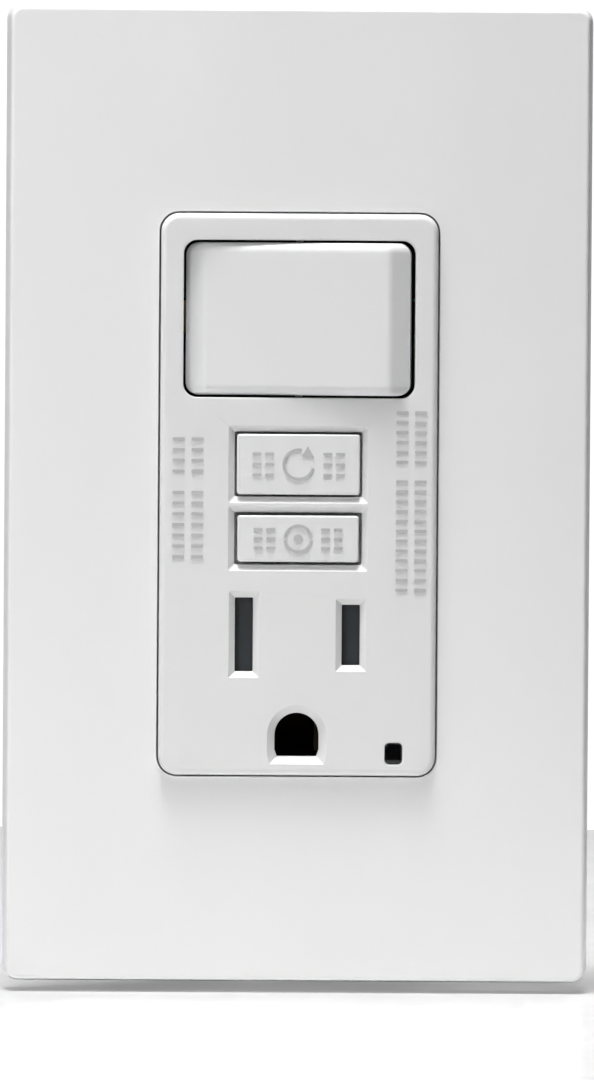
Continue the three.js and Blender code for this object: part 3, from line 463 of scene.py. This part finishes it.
def cover_plate():
    """The screwless plate: a drafted shell with a window, a pry notch in its foot and ribs to snap on by."""
    low, high = box_mm("cover_plate")
    outer = outline(high.x - low.x, high.z - low.z, PLATE_CORNER)
    window_size = (FACE_WIDTH + 2 * WINDOW_GAP, FACE_HEIGHT + 2 * WINDOW_GAP)
    window = outline(*window_size, FACE_CORNER + WINDOW_GAP)
    foot_edge, window_edge = 0.12, 0.12
    front, back = low.y, high.y
    inner_back = front + PLATE_SKIN
    shell = Shell()
    rim_outer, face_outer = shell.rings(
        [(outer(foot_edge), back), (outer(0.0), back - foot_edge)]
        + rounded_edge(outer, front, PLATE_EDGE, -1, PLATE_DRAFT)
    )
    window_front, window_back = shell.rings([
        (window(-window_edge), front),
        (window(-0.035), front + 0.035),
        (window(0.0), front + window_edge),
        (window(0.0), inner_back),
    ])
    shell.fill(face_outer, window_front)
    hollow_front, hollow_back = shell.rings([
        (outer(PLATE_SKIN + PLATE_DRAFT), inner_back),
        (outer(PLATE_SKIN), back - 0.1),
        (outer(PLATE_SKIN - 0.1), back),
    ])
    shell.fill(hollow_front, window_back)
    shell.band(rim_outer, hollow_back)
    piece = shell.build("cover_plate_shell")
    notch_left, notch_right, notch_depth = -6.4, -2.9, 1.6
    notch = Shell()
    notch.box((notch_left, back - notch_depth, low.z - 1), (notch_right, back + 1, low.z + PLATE_SKIN + 1))
    cutter = notch.build("notch")
    change = piece.modifiers.new("notch", "BOOLEAN")
    change.object = cutter
    change.solver = "EXACT"
    keep_modifiers(piece)
    bpy.data.objects.remove(cutter)
    piece.data.set_sharp_from_angle(angle=math.radians(32))
    weight_normals(piece)
    finish_piece(piece, COVER_WHITE, "cover", "cover_white", "cover_plate")
    ribs = Shell()
    for side in (-1, 1):
        for z in (-40, 0, 40):
            x = side * (high.x - PLATE_SKIN - 0.1)
            ribs.box((x - 0.45, back - 2.6, z - 5), (x + 0.45, back - 1.9, z + 5))
    finish_piece(ribs.build("cover_plate_ribs"), COVER_WHITE, "cover", "cover_white")


# ------------------------------------------------------------------ device face


def bevelled_mouth(shell, inset, front, back, bevel=BEVEL, depth=BEVEL_DEPTH):
    """A hole through the face with a bevelled mouth and slightly broken edges."""
    soft = 0.05
    return shell.rings([
        (inset(-bevel - soft), front),
        (inset(-bevel + soft * 0.4), front + soft * 0.6),
        (inset(-soft * 0.5), front + depth - soft),
        (inset(0.0), front + depth + soft),
        (inset(0.0), back),
    ])


def plain_mouth(shell, inset, front, back, edge=0.1):
    """A hole through the face with a broken edge, and a flat margin that keeps the face's shading even."""
    margin = 0.2
    return shell.rings([
        (inset(-edge - margin), front),
        (inset(-edge), front),
        (inset(-edge * 0.3), front + edge * 0.3),
        (inset(0.0), front + edge),
        (inset(0.0), back),
    ])


def front_cover():
    """The device face on its wider flange, hollow behind, with every opening and the four screw posts."""
    low, high = box_mm("front_cover")
    front = low.y
    skin_back = front + FACE_SKIN
    face = outline(FACE_WIDTH, FACE_HEIGHT, FACE_CORNER)
    flange = outline(high.x - low.x, high.z - low.z, FLANGE_CORNER)
    rocker = middle("switch_rocker")
    reset_low, reset_high = box_mm("reset_button")
    test_low, test_high = box_mm("test_button")
    shutter = middle("shutter_slider")
    lamp = middle("light_pipe")
    button_width = reset_high.x - reset_low.x - 2 * BUTTON_RIM + 2 * BUTTON_GAP
    shell = Shell()
    flange_edge = 0.2
    flange_rings = [
        (flange(0.0), FLANGE_BACK),
        (flange(0.0), FLANGE_FRONT + flange_edge),
        (flange(flange_edge), FLANGE_FRONT),
        (face(0.0), FLANGE_FRONT),
    ]
    rim_outer, face_outer = shell.rings(flange_rings + rounded_edge(face, front, FACE_EDGE, -1))
    switch_hole = outline(*SWITCH_OPENING, SWITCH_CORNER, (0, rocker.z))
    lamp_hole = outline(*LAMP_OPENING, LAMP_CORNER, (lamp.x, lamp.z))
    mouths = [
        plain_mouth(shell, switch_hole, front, skin_back, SWITCH_EDGE),
        bevelled_mouth(shell, button_hole(button_width, reset_low, reset_high), front, skin_back),
        bevelled_mouth(shell, button_hole(button_width, test_low, test_high), front, skin_back),
        bevelled_mouth(shell, plug_slot(-hot_x(), shutter.z, NEUTRAL_HEIGHT), front, skin_back),
        bevelled_mouth(shell, plug_slot(hot_x(), shutter.z, HOT_HEIGHT), front, skin_back),
        bevelled_mouth(shell, arch(ground_centre()), front, skin_back, GROUND_BEVEL, GROUND_BEVEL_DEPTH),
        plain_mouth(shell, lamp_hole, front, skin_back, LAMP_EDGE),
    ]
    shell.fill(face_outer, *[mouth[0] for mouth in mouths])
    hollow = rounded(FACE_WIDTH - 2 * FACE_WALL, FACE_HEIGHT - 2 * FACE_WALL, 0.8)
    hollow_front, hollow_back = shell.rings([(hollow, skin_back), (hollow, FLANGE_BACK)])
    shell.fill(hollow_front, *[mouth[1] for mouth in mouths])
    shell.band(rim_outer, hollow_back)
    piece = shell.build("front_cover_face", 24)
    weight_normals(piece)
    finish_piece(piece, FACE_WHITE, "chassis", "face_white", "front_cover")
    root = FLANGE_FRONT + 1
    post = [
        (0, root), (POST_RADIUS, root), (POST_RADIUS, high.y - 0.2), (POST_RADIUS - 0.2, high.y),
        (POST_BORE, high.y), (POST_BORE, 0), (0, 0),
    ]
    posts = Shell()
    for x in (-POST_X, POST_X):
        for z in (-POST_Z, POST_Z):
            posts.turned(post, Matrix.Translation((x, 0, z)))
    finish_piece(posts.build("front_cover_posts"), FACE_WHITE, "chassis", "face_white")


def hot_x():
    """The x of the hot blade's slot. The neutral one lies as far to the other side."""
    return box_mm("hot_contact")[0].x + HOT_SLOT_INSET


def ground_centre():
    """The x and z of the ground hole's centre, from the opening that the record states."""
    box = frame["record"]["physics"]["openings"][0]["box_m"]
    return (box[0][0] + box[1][0]) / 2 / MM, (box[0][2] + box[1][2]) / 2 / MM


def button_hole(width, low, high):
    height = high.z - low.z - 2 * BUTTON_RIM_HEIGHT + 2 * BUTTON_GAP
    return outline(width, height, 0.25, ((low.x + high.x) / 2, (low.z + high.z) / 2), 4, True)


def plug_slot(x, z, height):
    return outline(SLOT_WIDTH, height, 0.12, (x, z), 3, True)


# ------------------------------------------------------------------ rocker and buttons


def spaced(breaks):
    """Stations through a list of (end, count) stretches, from 0."""
    stations = [0.0]
    for end, count in breaks:
        start = stations[-1]
        stations += [start + (end - start) * (i + 1) / count for i in range(count)]
    return stations


def rocker():
    """The paddle: a broad flat, a slope at each end and a round along the top and bottom edges."""
    pivot = Vector(frame_joint("rocker_tilt")["pos_m"]) / MM
    tilt = math.radians(5)
    half_x, half_z = 13.35, 9.05
    face, flat, end, back = -3.3, 11.0, -1.8, 1.0
    skin = 1.9
    corner = 1.5
    top_round = 1.15
    blend = 0.45
    slope = (end - face) / (half_x - flat)

    def depth(x, z):
        beyond = abs(x) - flat
        if beyond < -blend:
            y = face
        elif beyond < blend:
            y = face + slope * (beyond + blend) ** 2 / (4 * blend)
        else:
            y = face + slope * beyond
        lip = abs(z) - (half_z - top_round)
        if lip > 0:
            y += top_round - math.sqrt(max(0.0, top_round ** 2 - lip ** 2))
        return y

    def reach(z):
        over = abs(z) - (half_z - corner)
        return half_x if over <= 0 else half_x - corner + math.sqrt(max(0.0, corner ** 2 - over ** 2))

    def symmetric(stations):
        ends = [s for s in stations if s > 0]
        return [-s for s in reversed(ends)] + [0.0] + ends

    across = symmetric(spaced([(0.75, 4), (0.8, 2), (0.87, 8), (1.0, 8)]))
    up_ends = [half_z - corner + corner * math.sin(math.pi / 2 * i / 12) for i in range(13)]
    up = symmetric([3.0, 6.0] + up_ends)
    turn = Matrix.Translation(pivot) @ Matrix.Rotation(-tilt, 4, "Z")
    shell = Shell()
    rows = []
    for z in up:
        wide = reach(z)
        rows.append(shell.ring([turn @ Vector((s * wide, depth(s * wide, z), z)) for s in across]))
    for low_row, high_row in zip(rows, rows[1:]):
        for i in range(len(across) - 1):
            shell.faces.append((low_row[i], low_row[i + 1], high_row[i + 1], high_row[i]))
    border = rows[0] + [row[-1] for row in rows[1:-1]] + rows[-1][::-1] + [row[0] for row in rows[-2:0:-1]]
    flat_border = border_points(across, up, reach)
    skirt = shell.ring([turn @ Vector((x, back, z)) for x, z in flat_border])
    shell.band(border, skirt)
    hollow_x, hollow_z = 0.88, 0.84
    hollow = [(x * hollow_x, z * hollow_z) for x, z in flat_border]
    inner_edge = shell.ring([turn @ Vector((x, back, z)) for x, z in hollow])
    shell.band(skirt, inner_edge)
    inner_floor = shell.ring([turn @ Vector((x, face + skin, z)) for x, z in hollow])
    shell.band(inner_edge, inner_floor)
    shell.fill(inner_floor)
    post, bore, tip = 2.3, 1.6, 4.6
    shell.turned([
        (0, face + 1), (post, face + 1), (post, tip - 0.2), (post - 0.2, tip),
        (bore, tip), (bore, 0.2), (0, 0.2),
    ], turn)
    pin, pin_edge, pin_root, pin_tip = 0.45, 0.1, 8.0, 10.0
    pin_profile = [
        (0, pin_root), (pin, pin_root), (pin, pin_tip - pin_edge), (pin - pin_edge, pin_tip), (0, pin_tip),
    ]
    for side in (-1, 1):
        shell.turned(pin_profile, turn @ Matrix.Rotation(side * math.pi / 2, 4, "X"), 24)
    piece = shell.build("rocker_paddle", 40)
    weight_normals(piece)
    finish_piece(piece, KEY_WHITE, "rocker", "key_white", "switch_rocker")


def border_points(across, up, reach):
    """The x and z of the paddle's border, once round, in the order of its outermost rows and columns."""
    points = [(s * reach(up[0]), up[0]) for s in across]
    points += [(reach(z), z) for z in up[1:-1]]
    points += [(s * reach(up[-1]), up[-1]) for s in reversed(across)]
    points += [(-reach(z), z) for z in reversed(up[1:-1])]
    return points


def frame_joint(name):
    return next(joint for joint in frame["joints"] if joint["name"] == name)


def button(name, node, body, marks, trim=0.0):
    """A flat cap on a wider rim and a stem, with raised marks in a darker grey, painted shade of their relief.
    Trim makes the cap smaller all round.
    """
    low, high = box_mm(node)
    centre = ((low.x + high.x) / 2, (low.z + high.z) / 2)
    width = high.x - low.x - 2 * BUTTON_RIM - 2 * trim
    height = high.z - low.z - 2 * BUTTON_RIM_HEIGHT - 2 * trim
    cap = outline(width, height, 0.35, centre, 5)
    rim = outline(high.x - low.x, high.z - low.z, 0.5, centre, 5)
    shell = Shell()
    shell.solid([(cap(0.0), BUTTON_RIM_FRONT + 0.1)] + rounded_edge(cap, low.y, 0.22, -1, 0.0, 5))
    shell.solid([(rim(0.0), BUTTON_RIM_FRONT), (rim(0.0), BUTTON_RIM_FRONT + 1.0)])
    stem, stem_root = 1.2, BUTTON_RIM_FRONT + 0.9
    shell.turned([(0, stem_root), (stem, stem_root), (stem, high.y), (0, high.y)],
                 Matrix.Translation((centre[0], 0, centre[1])))
    piece = shell.build(name, 35)
    weight_normals(piece)
    finish_piece(piece, KEY_WHITE, body, "key_white", node)
    relief = Shell()
    for points in marks:
        moved = [(x + centre[0], z + centre[1]) for x, z in points]
        relief.solid([(moved, low.y + 0.1), (moved, low.y - MARK_HEIGHT)])
    # The marks take the darker grey: painted shade of their relief.
    finish_piece(relief.build(name + "_marks"), MARK_PAINTED_SHADE, body, "key_white")


def stroke(points, thick):
    """The outline of a bar of even thickness along a list of points."""
    left, right = [], []
    for i, point in enumerate(points):
        here = Vector(point)
        before = Vector(points[max(i - 1, 0)])
        after = Vector(points[min(i + 1, len(points) - 1)])
        along = (after - before).normalized()
        side = Vector((-along.y, along.x)) * thick / 2
        left.append(tuple(here + side))
        right.append(tuple(here - side))
    return left + right[::-1]


def arc(radius, start, sweep, centre=(0.0, 0.0), steps=24):
    """Points along an arc, from angles in degrees."""
    angles = [math.radians(start + sweep * i / steps) for i in range(steps + 1)]
    return [(centre[0] + radius * math.cos(t), centre[1] + radius * math.sin(t)) for t in angles]


def circular_arrow(radius=1.75, thick=0.36):
    """An open circle with an arrowhead: a generic sign for setting back."""
    tip = Vector((radius * math.cos(math.radians(50)), radius * math.sin(math.radians(50))))
    head = [tuple(tip + Vector(corner)) for corner in ((0.75, -0.55), (-0.05, 0.85), (-0.75, -0.35))]
    return [stroke(arc(radius, 78, 268), thick), head]


def ring_and_dot(radius=1.55, thick=0.36):
    """A ring in two halves round a dot: a generic sign for a trial."""
    dot = arc(0.55, 0, 337.5, steps=15)
    return [stroke(arc(radius, 8, 164), thick), stroke(arc(radius, 188, 164), thick), dot]


def dashes(x, z, count, size=(1.1, 0.34), pitch=1.5):
    """A row of short plain bars."""
    places = [x + (i - (count - 1) / 2) * pitch for i in range(count)]
    return [rounded(*size, min(size) / 2.1, (place, z), 3) for place in places]


def flanked(sign, reach, drop):
    """A sign with two short rows of bars on each side of it."""
    bars = [bar for side in (-1, 1) for up in (-1, 0, 1) for bar in dashes(side * reach, up * drop, 2)]
    return sign + bars


def side_rows():
    """Upright rows of short plain bars beside the buttons, where the real face has small raised lettering in its
    own plastic. The bars are a darker grey, painted shade of that relief.
    """
    front = box_mm("front_cover")[0].y
    left, right = (4, 7), (6, 12)
    rows = [
        (-14.25, 7.2, left, 1.27),
        (-12.0, 7.2, left, 1.27),
        (12.3, 10.4, right, 1.17),
        (14.5, 10.4, right, 1.17),
    ]
    shell = Shell()
    for x, top, words, pitch in rows:
        z = top
        for bars in words:
            for _ in range(bars):
                bar = rounded(1.45, 0.36, 0.14, (x, z - pitch / 2), 3)
                shell.solid([(bar, front + 0.05), (bar, front - MARK_HEIGHT)])
                z -= pitch
            z -= pitch
    # The bars take the darker grey: painted shade of their relief.
    finish_piece(shell.build("face_bars"), MARK_PAINTED_SHADE, "chassis", "face_white")


def lamp_window():
    """The dark head of the light pipe and its round stem."""
    low, high = box_mm("light_pipe")
    centre = ((low.x + high.x) / 2, (low.z + high.z) / 2)
    head = outline(high.x - low.x, high.z - low.z, 0.5, centre, 6)
    stem, stem_root = 0.9, LAMP_BACK - 0.1
    shell = Shell()
    shell.solid([(head(0.0), LAMP_BACK)] + rounded_edge(head, low.y, 0.15, -1, 0.0, 3))
    shell.turned([(0, stem_root), (stem, stem_root), (stem, high.y), (0, high.y)],
                 Matrix.Translation((centre[0], 0, centre[1])), 24)
    finish_piece(shell.build("lamp_window"), LENS_SMOKE, "chassis", "lens_smoke", "light_pipe")


cover_plate()
front_cover()
rocker()
button("reset_cap", "reset_button", "reset_key", flanked(circular_arrow(), 4.2, 1.25))
button("test_cap", "test_button", "test_key", flanked(ring_and_dot(), 4.0, 1.1), 0.1)
side_rows()
lamp_window()


# ------------------------------------------------------------------ what the plate and the wall hide


def body_of(node):
    return next(body for body, nodes in frame["record"]["behaviour"]["bodies"].items() if node in nodes)


def slot_of(node):
    return next(e["material_slot"] for e in frame["record"]["subparts"] if e["node"] == node)


def softened(node, width):
    """A copy of a CAD node with its flats joined up and, where a width is given, its hard edges broken."""
    mesh = frame["nodes"][node].data.copy()
    mesh.name = node + "_soft"
    work = bmesh.new()
    work.from_mesh(mesh)
    bmesh.ops.remove_doubles(work, verts=work.verts, dist=1e-7)
    bmesh.ops.dissolve_limit(work, angle_limit=math.radians(1), verts=work.verts, edges=work.edges)
    work.to_mesh(mesh)
    work.free()
    piece = bpy.data.objects.new(node + "_soft", mesh)
    bpy.context.scene.collection.objects.link(piece)
    if width:
        edges = piece.modifiers.new("edges", "BEVEL")
        edges.width = width * MM
        edges.segments = 2
        edges.limit_method = "ANGLE"
        edges.angle_limit = math.radians(40)
        keep_modifiers(piece)
    piece.data.polygons.foreach_set("use_smooth", [True] * len(piece.data.polygons))
    piece.data.set_sharp_from_angle(angle=math.radians(38))
    return weight_normals(piece)


def carry(node, width, material=None):
    """Puts a softened copy in place of a CAD node, in its own material unless another is given."""
    piece = softened(node, width)
    finish_piece(piece, material or SLOT_MATERIALS[slot_of(node)], body_of(node), slot_of(node), node)


# The width of the broken edge on each copied CAD node, in millimetres; 0 leaves its edges sharp.
SOFT_NODES = {
    "cover_bracket": 0, "rear_housing": 0.3, "mounting_strap": 0, "screw_retainer_top": 0.08,
    "screw_retainer_bottom": 0.08, "inner_frame": 0.12, "shutter_slider": 0, "circuit_board": 0.08,
    "hot_contact": 0.06, "neutral_contact": 0.06, "contact_carrier": 0.12, "latch_plate": 0.06,
    "moving_arm_hot": 0.06, "moving_arm_neutral": 0.06, "test_contact": 0.06, "switch_contact_arm": 0.08,
    "solenoid_bobbin": 0.1, "controller_chip": 0.06, "filter_capacitor": 0.2,
}
for part in ("line_hot", "line_neutral", "switch_feed", "switch_load"):
    SOFT_NODES[part + "_terminal"] = 0.08
    SOFT_NODES[part + "_clamp"] = 0.12

# These brass parts show only in deep gaps, so they take the near-black brass: painted shade, not their own colour.
PAINTED_SHADE_BRASS_NODES = ("ground_contact", "switch_feed_terminal")
SOFT_NODES["ground_contact"] = 0.06

for soft_node, soft_width in SOFT_NODES.items():
    carry(soft_node, soft_width, BRASS_PAINTED_SHADE if soft_node in PAINTED_SHADE_BRASS_NODES else None)


def squashed_springs():
    """The coil springs: a smooth-shaded copy of each in spring steel, on its body, with a mesh of its own."""
    for joint in frame["record"]["behaviour"]["joints"]:
        for row in joint.get("deforming_nodes", []):
            node = row["node"]
            letter = row["mode"][-1]
            along = "xyz".index(letter)
            low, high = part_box(node)
            anchor = (low + high) / 2
            anchor[along] = row[f"fixed_end_{letter}_m"]
            piece = softened(node, 0)
            finish_piece(piece, SPRING_STEEL, body_of(node), slot_of(node), node)
            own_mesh(piece)


squashed_springs()


def screw(node, axis, head_end, shank, head_height, recess):
    """A machine screw that fills a CAD node's box: a domed head, turned thread ridges and a driver recess."""
    low, high = box_mm(node)
    along = "XYZ".index(axis)
    length = high[along] - low[along]
    across = [i for i in range(3) if i != along]
    head = (high[across[0]] - low[across[0]]) / 2
    spot = (low + high) / 2
    spot[along] = low[along] if head_end < 0 else high[along]
    turn = Matrix.Identity(4)
    if axis == "X":
        turn = Matrix.Rotation(math.radians(-90 if head_end < 0 else 90), 4, "Z")
    elif head_end > 0:
        turn = Matrix.Rotation(math.pi, 4, "X")
    place = Matrix.Translation(spot) @ turn
    pitch, ridge, edge = 0.8, 0.22, 0.08
    crest = shank - 0.03
    dome_height = head_height * 0.72
    dome_angles = [math.radians(t) for t in range(0, 91, 10)]
    dome = [(head * math.sin(t), dome_height * (1 - math.cos(t))) for t in dome_angles]
    profile = dome + [(head, head_height - edge), (head - edge, head_height), (shank, head_height)]
    y = head_height + 0.6
    while y < length - 1.2:
        profile += [(shank - ridge, y), (crest, y + pitch / 2 - edge), (crest, y + pitch / 2 + edge)]
        y += pitch
    profile += [(shank - ridge, length - 1.0), (shank * 0.5, length), (0, length)]
    shell = Shell()
    shell.turned(profile, place, 36)
    piece = shell.build(node + "_turned", 35)
    cutter = Shell()
    depth = head_height * 0.62
    if recess == "slot":
        reach, half = head * 1.2, 0.5
        cutter.box((-reach, -1, -half), (reach, depth, half))
    else:
        reach, half = head * 0.55, 0.32
        cutter.box((-reach, -1, -half), (reach, depth, half))
        cutter.box((-half, -1, -reach), (half, depth + 0.02, reach))
    tool = cutter.build("driver")
    tool.matrix_world = Matrix.Translation(spot * MM) @ turn
    bpy.context.view_layer.update()
    change = piece.modifiers.new("recess", "BOOLEAN")
    change.object = tool
    change.solver = "EXACT"
    change.use_self = True
    keep_modifiers(piece)
    bpy.data.objects.remove(tool)
    piece.data.set_sharp_from_angle(angle=math.radians(35))
    finish_piece(piece, SLOT_MATERIALS[slot_of(node)], body_of(node), slot_of(node), node)


for end in ("top", "bottom"):
    screw("bracket_screw_" + end, "Y", -1, 1.7, 1.3, "slot")
    screw("box_screw_" + end, "Y", -1, 1.65, 1.9, "cross")
    for hand in ("left", "right"):
        screw(f"housing_screw_{end}_{hand}", "Y", 1, 1.2, 1.8, "cross")
for part, hand in (("line_hot", 1), ("switch_feed", 1), ("line_neutral", -1), ("switch_load", -1)):
    screw(part + "_screw", "X", hand, 2.0, 2.0, "slot")
screw("ground_screw", "X", 1, 2.0, 2.0, "slot")


# ------------------------------------------------------------------ floor, light and camera


def floor():
    """A pale, slightly glossy floor just under the plate. Its right edge is near, to throw less light up."""
    mesh = bpy.data.meshes.new("floor")
    left, right, front, rear = -0.5, 0.07, -0.25, 0.35
    gap = 1.0 * MM
    z = CAD_BOX[0][2] - gap
    corners = [(left, front, z), (right, front, z), (right, rear, z), (left, rear, z)]
    mesh.from_pydata(corners, [], [(0, 1, 2, 3)])
    piece = bpy.data.objects.new("floor", mesh)
    bpy.context.scene.collection.objects.link(piece)
    nodes = Nodes("floor_white")
    nodes.colour(nodes.shades(nodes.noise(6.0, 2.0), (0.81, 0.81, 0.81), (0.83, 0.83, 0.83)))
    nodes.rough(nodes.spread(nodes.noise(40.0, 3.0), 0.16, 0.22))
    nodes.shader.inputs["Specular IOR Level"].default_value = 0.1
    mesh.materials.append(nodes.material)


def studio():
    """A white backdrop that lights the object from behind, with little light from the room side."""
    world = bpy.data.worlds.new("studio")
    bpy.context.scene.world = world
    world.use_nodes = True
    tree = world.node_tree
    tree.nodes.clear()
    output = tree.nodes.new("ShaderNodeOutputWorld")
    mix = tree.nodes.new("ShaderNodeMixShader")
    path = tree.nodes.new("ShaderNodeLightPath")
    tree.links.new(path.outputs["Is Camera Ray"], mix.inputs["Fac"])
    backdrop, seen = (tree.nodes.new("ShaderNodeBackground") for _ in range(2))
    tree.links.new(backdrop.outputs["Background"], mix.inputs[1])
    tree.links.new(seen.outputs["Background"], mix.inputs[2])
    seen.inputs["Color"].default_value = (1, 1, 1, 1)
    seen.inputs["Strength"].default_value = 1.05
    split = tree.nodes.new("ShaderNodeSeparateXYZ")
    tree.links.new(tree.nodes.new("ShaderNodeTexCoord").outputs["Generated"], split.inputs["Vector"])
    behind = mapped(tree, split.outputs["Y"], (-0.05, 0.25), (0.0, 0.65))
    low_down = mapped(tree, split.outputs["Z"], (0.15, 0.5), (1.0, 0.0))
    strength = tree.nodes.new("ShaderNodeMath")
    strength.operation = "MULTIPLY"
    tree.links.new(behind, strength.inputs[0])
    tree.links.new(low_down, strength.inputs[1])
    tree.links.new(strength.outputs["Value"], backdrop.inputs["Strength"])
    tree.links.new(mix.outputs["Shader"], output.inputs["Surface"])


def area_light(name, place, target, size, power, spread):
    """A rectangular light aimed at a target: lengths in metres, power in watts, spread in degrees."""
    lamp = bpy.data.lights.new(name, "AREA")
    lamp.spread = math.radians(spread)
    lamp.shape = "RECTANGLE"
    lamp.size, lamp.size_y = size
    lamp.energy = power
    source = bpy.data.objects.new(name, lamp)
    bpy.context.scene.collection.objects.link(source)
    source.location = place
    source.rotation_euler = (Vector(target) - Vector(place)).to_track_quat("-Z", "Y").to_euler()


def camera():
    """A long lens a little above and to the left of the device, turned slightly."""
    distance = 1.4
    seen_height = 0.1283
    pitch, yaw, roll = math.radians(1.75), math.radians(1.15), math.radians(0.4)
    target = Vector((-0.0001, -0.0062, -0.0054))
    away = Vector((-math.sin(yaw) * math.cos(pitch), -math.cos(yaw) * math.cos(pitch), math.sin(pitch)))
    lens = bpy.data.cameras.new("camera")
    lens.sensor_fit = "VERTICAL"
    lens.sensor_height = 36.0
    lens.lens = lens.sensor_height * distance / seen_height
    lens.clip_start = 0.05
    lens.clip_end = 20
    eye = bpy.data.objects.new("camera", lens)
    bpy.context.scene.collection.objects.link(eye)
    eye.location = target + away * distance
    facing = (-away).to_track_quat("-Z", "Y").to_matrix().to_4x4()
    eye.matrix_world = Matrix.Translation(eye.location) @ facing @ Matrix.Rotation(roll, 4, "Z")
    bpy.context.scene.camera = eye


floor()
studio()
LIGHTS = (
    ("top_softbox", (-0.05, -0.115, 0.6), (0, 0, 0), (0.25, 0.12), 4.5, 180),
    ("front_softbox", (-0.02, -0.3, 0.6), (0, 0, 0), (0.25, 0.15), 1.3, 180),
    ("back_softbox", (0.12, 0.3, 0.55), (0.12, 0.2, -0.06), (0.3, 0.3), 0.45, 90),
    ("key_softbox", (-0.9, -2.0, 0.8), (0, 0, 0), (0.5, 0.5), 12.6, 180),
    ("floor_softbox", (-0.3, -0.2, 0.45), (-0.3, -0.2, 0), (0.2, 0.2), 0.45, 60),
)
for light in LIGHTS:
    area_light(*light)
camera()
bpy.context.scene.view_settings.view_transform = "Standard"
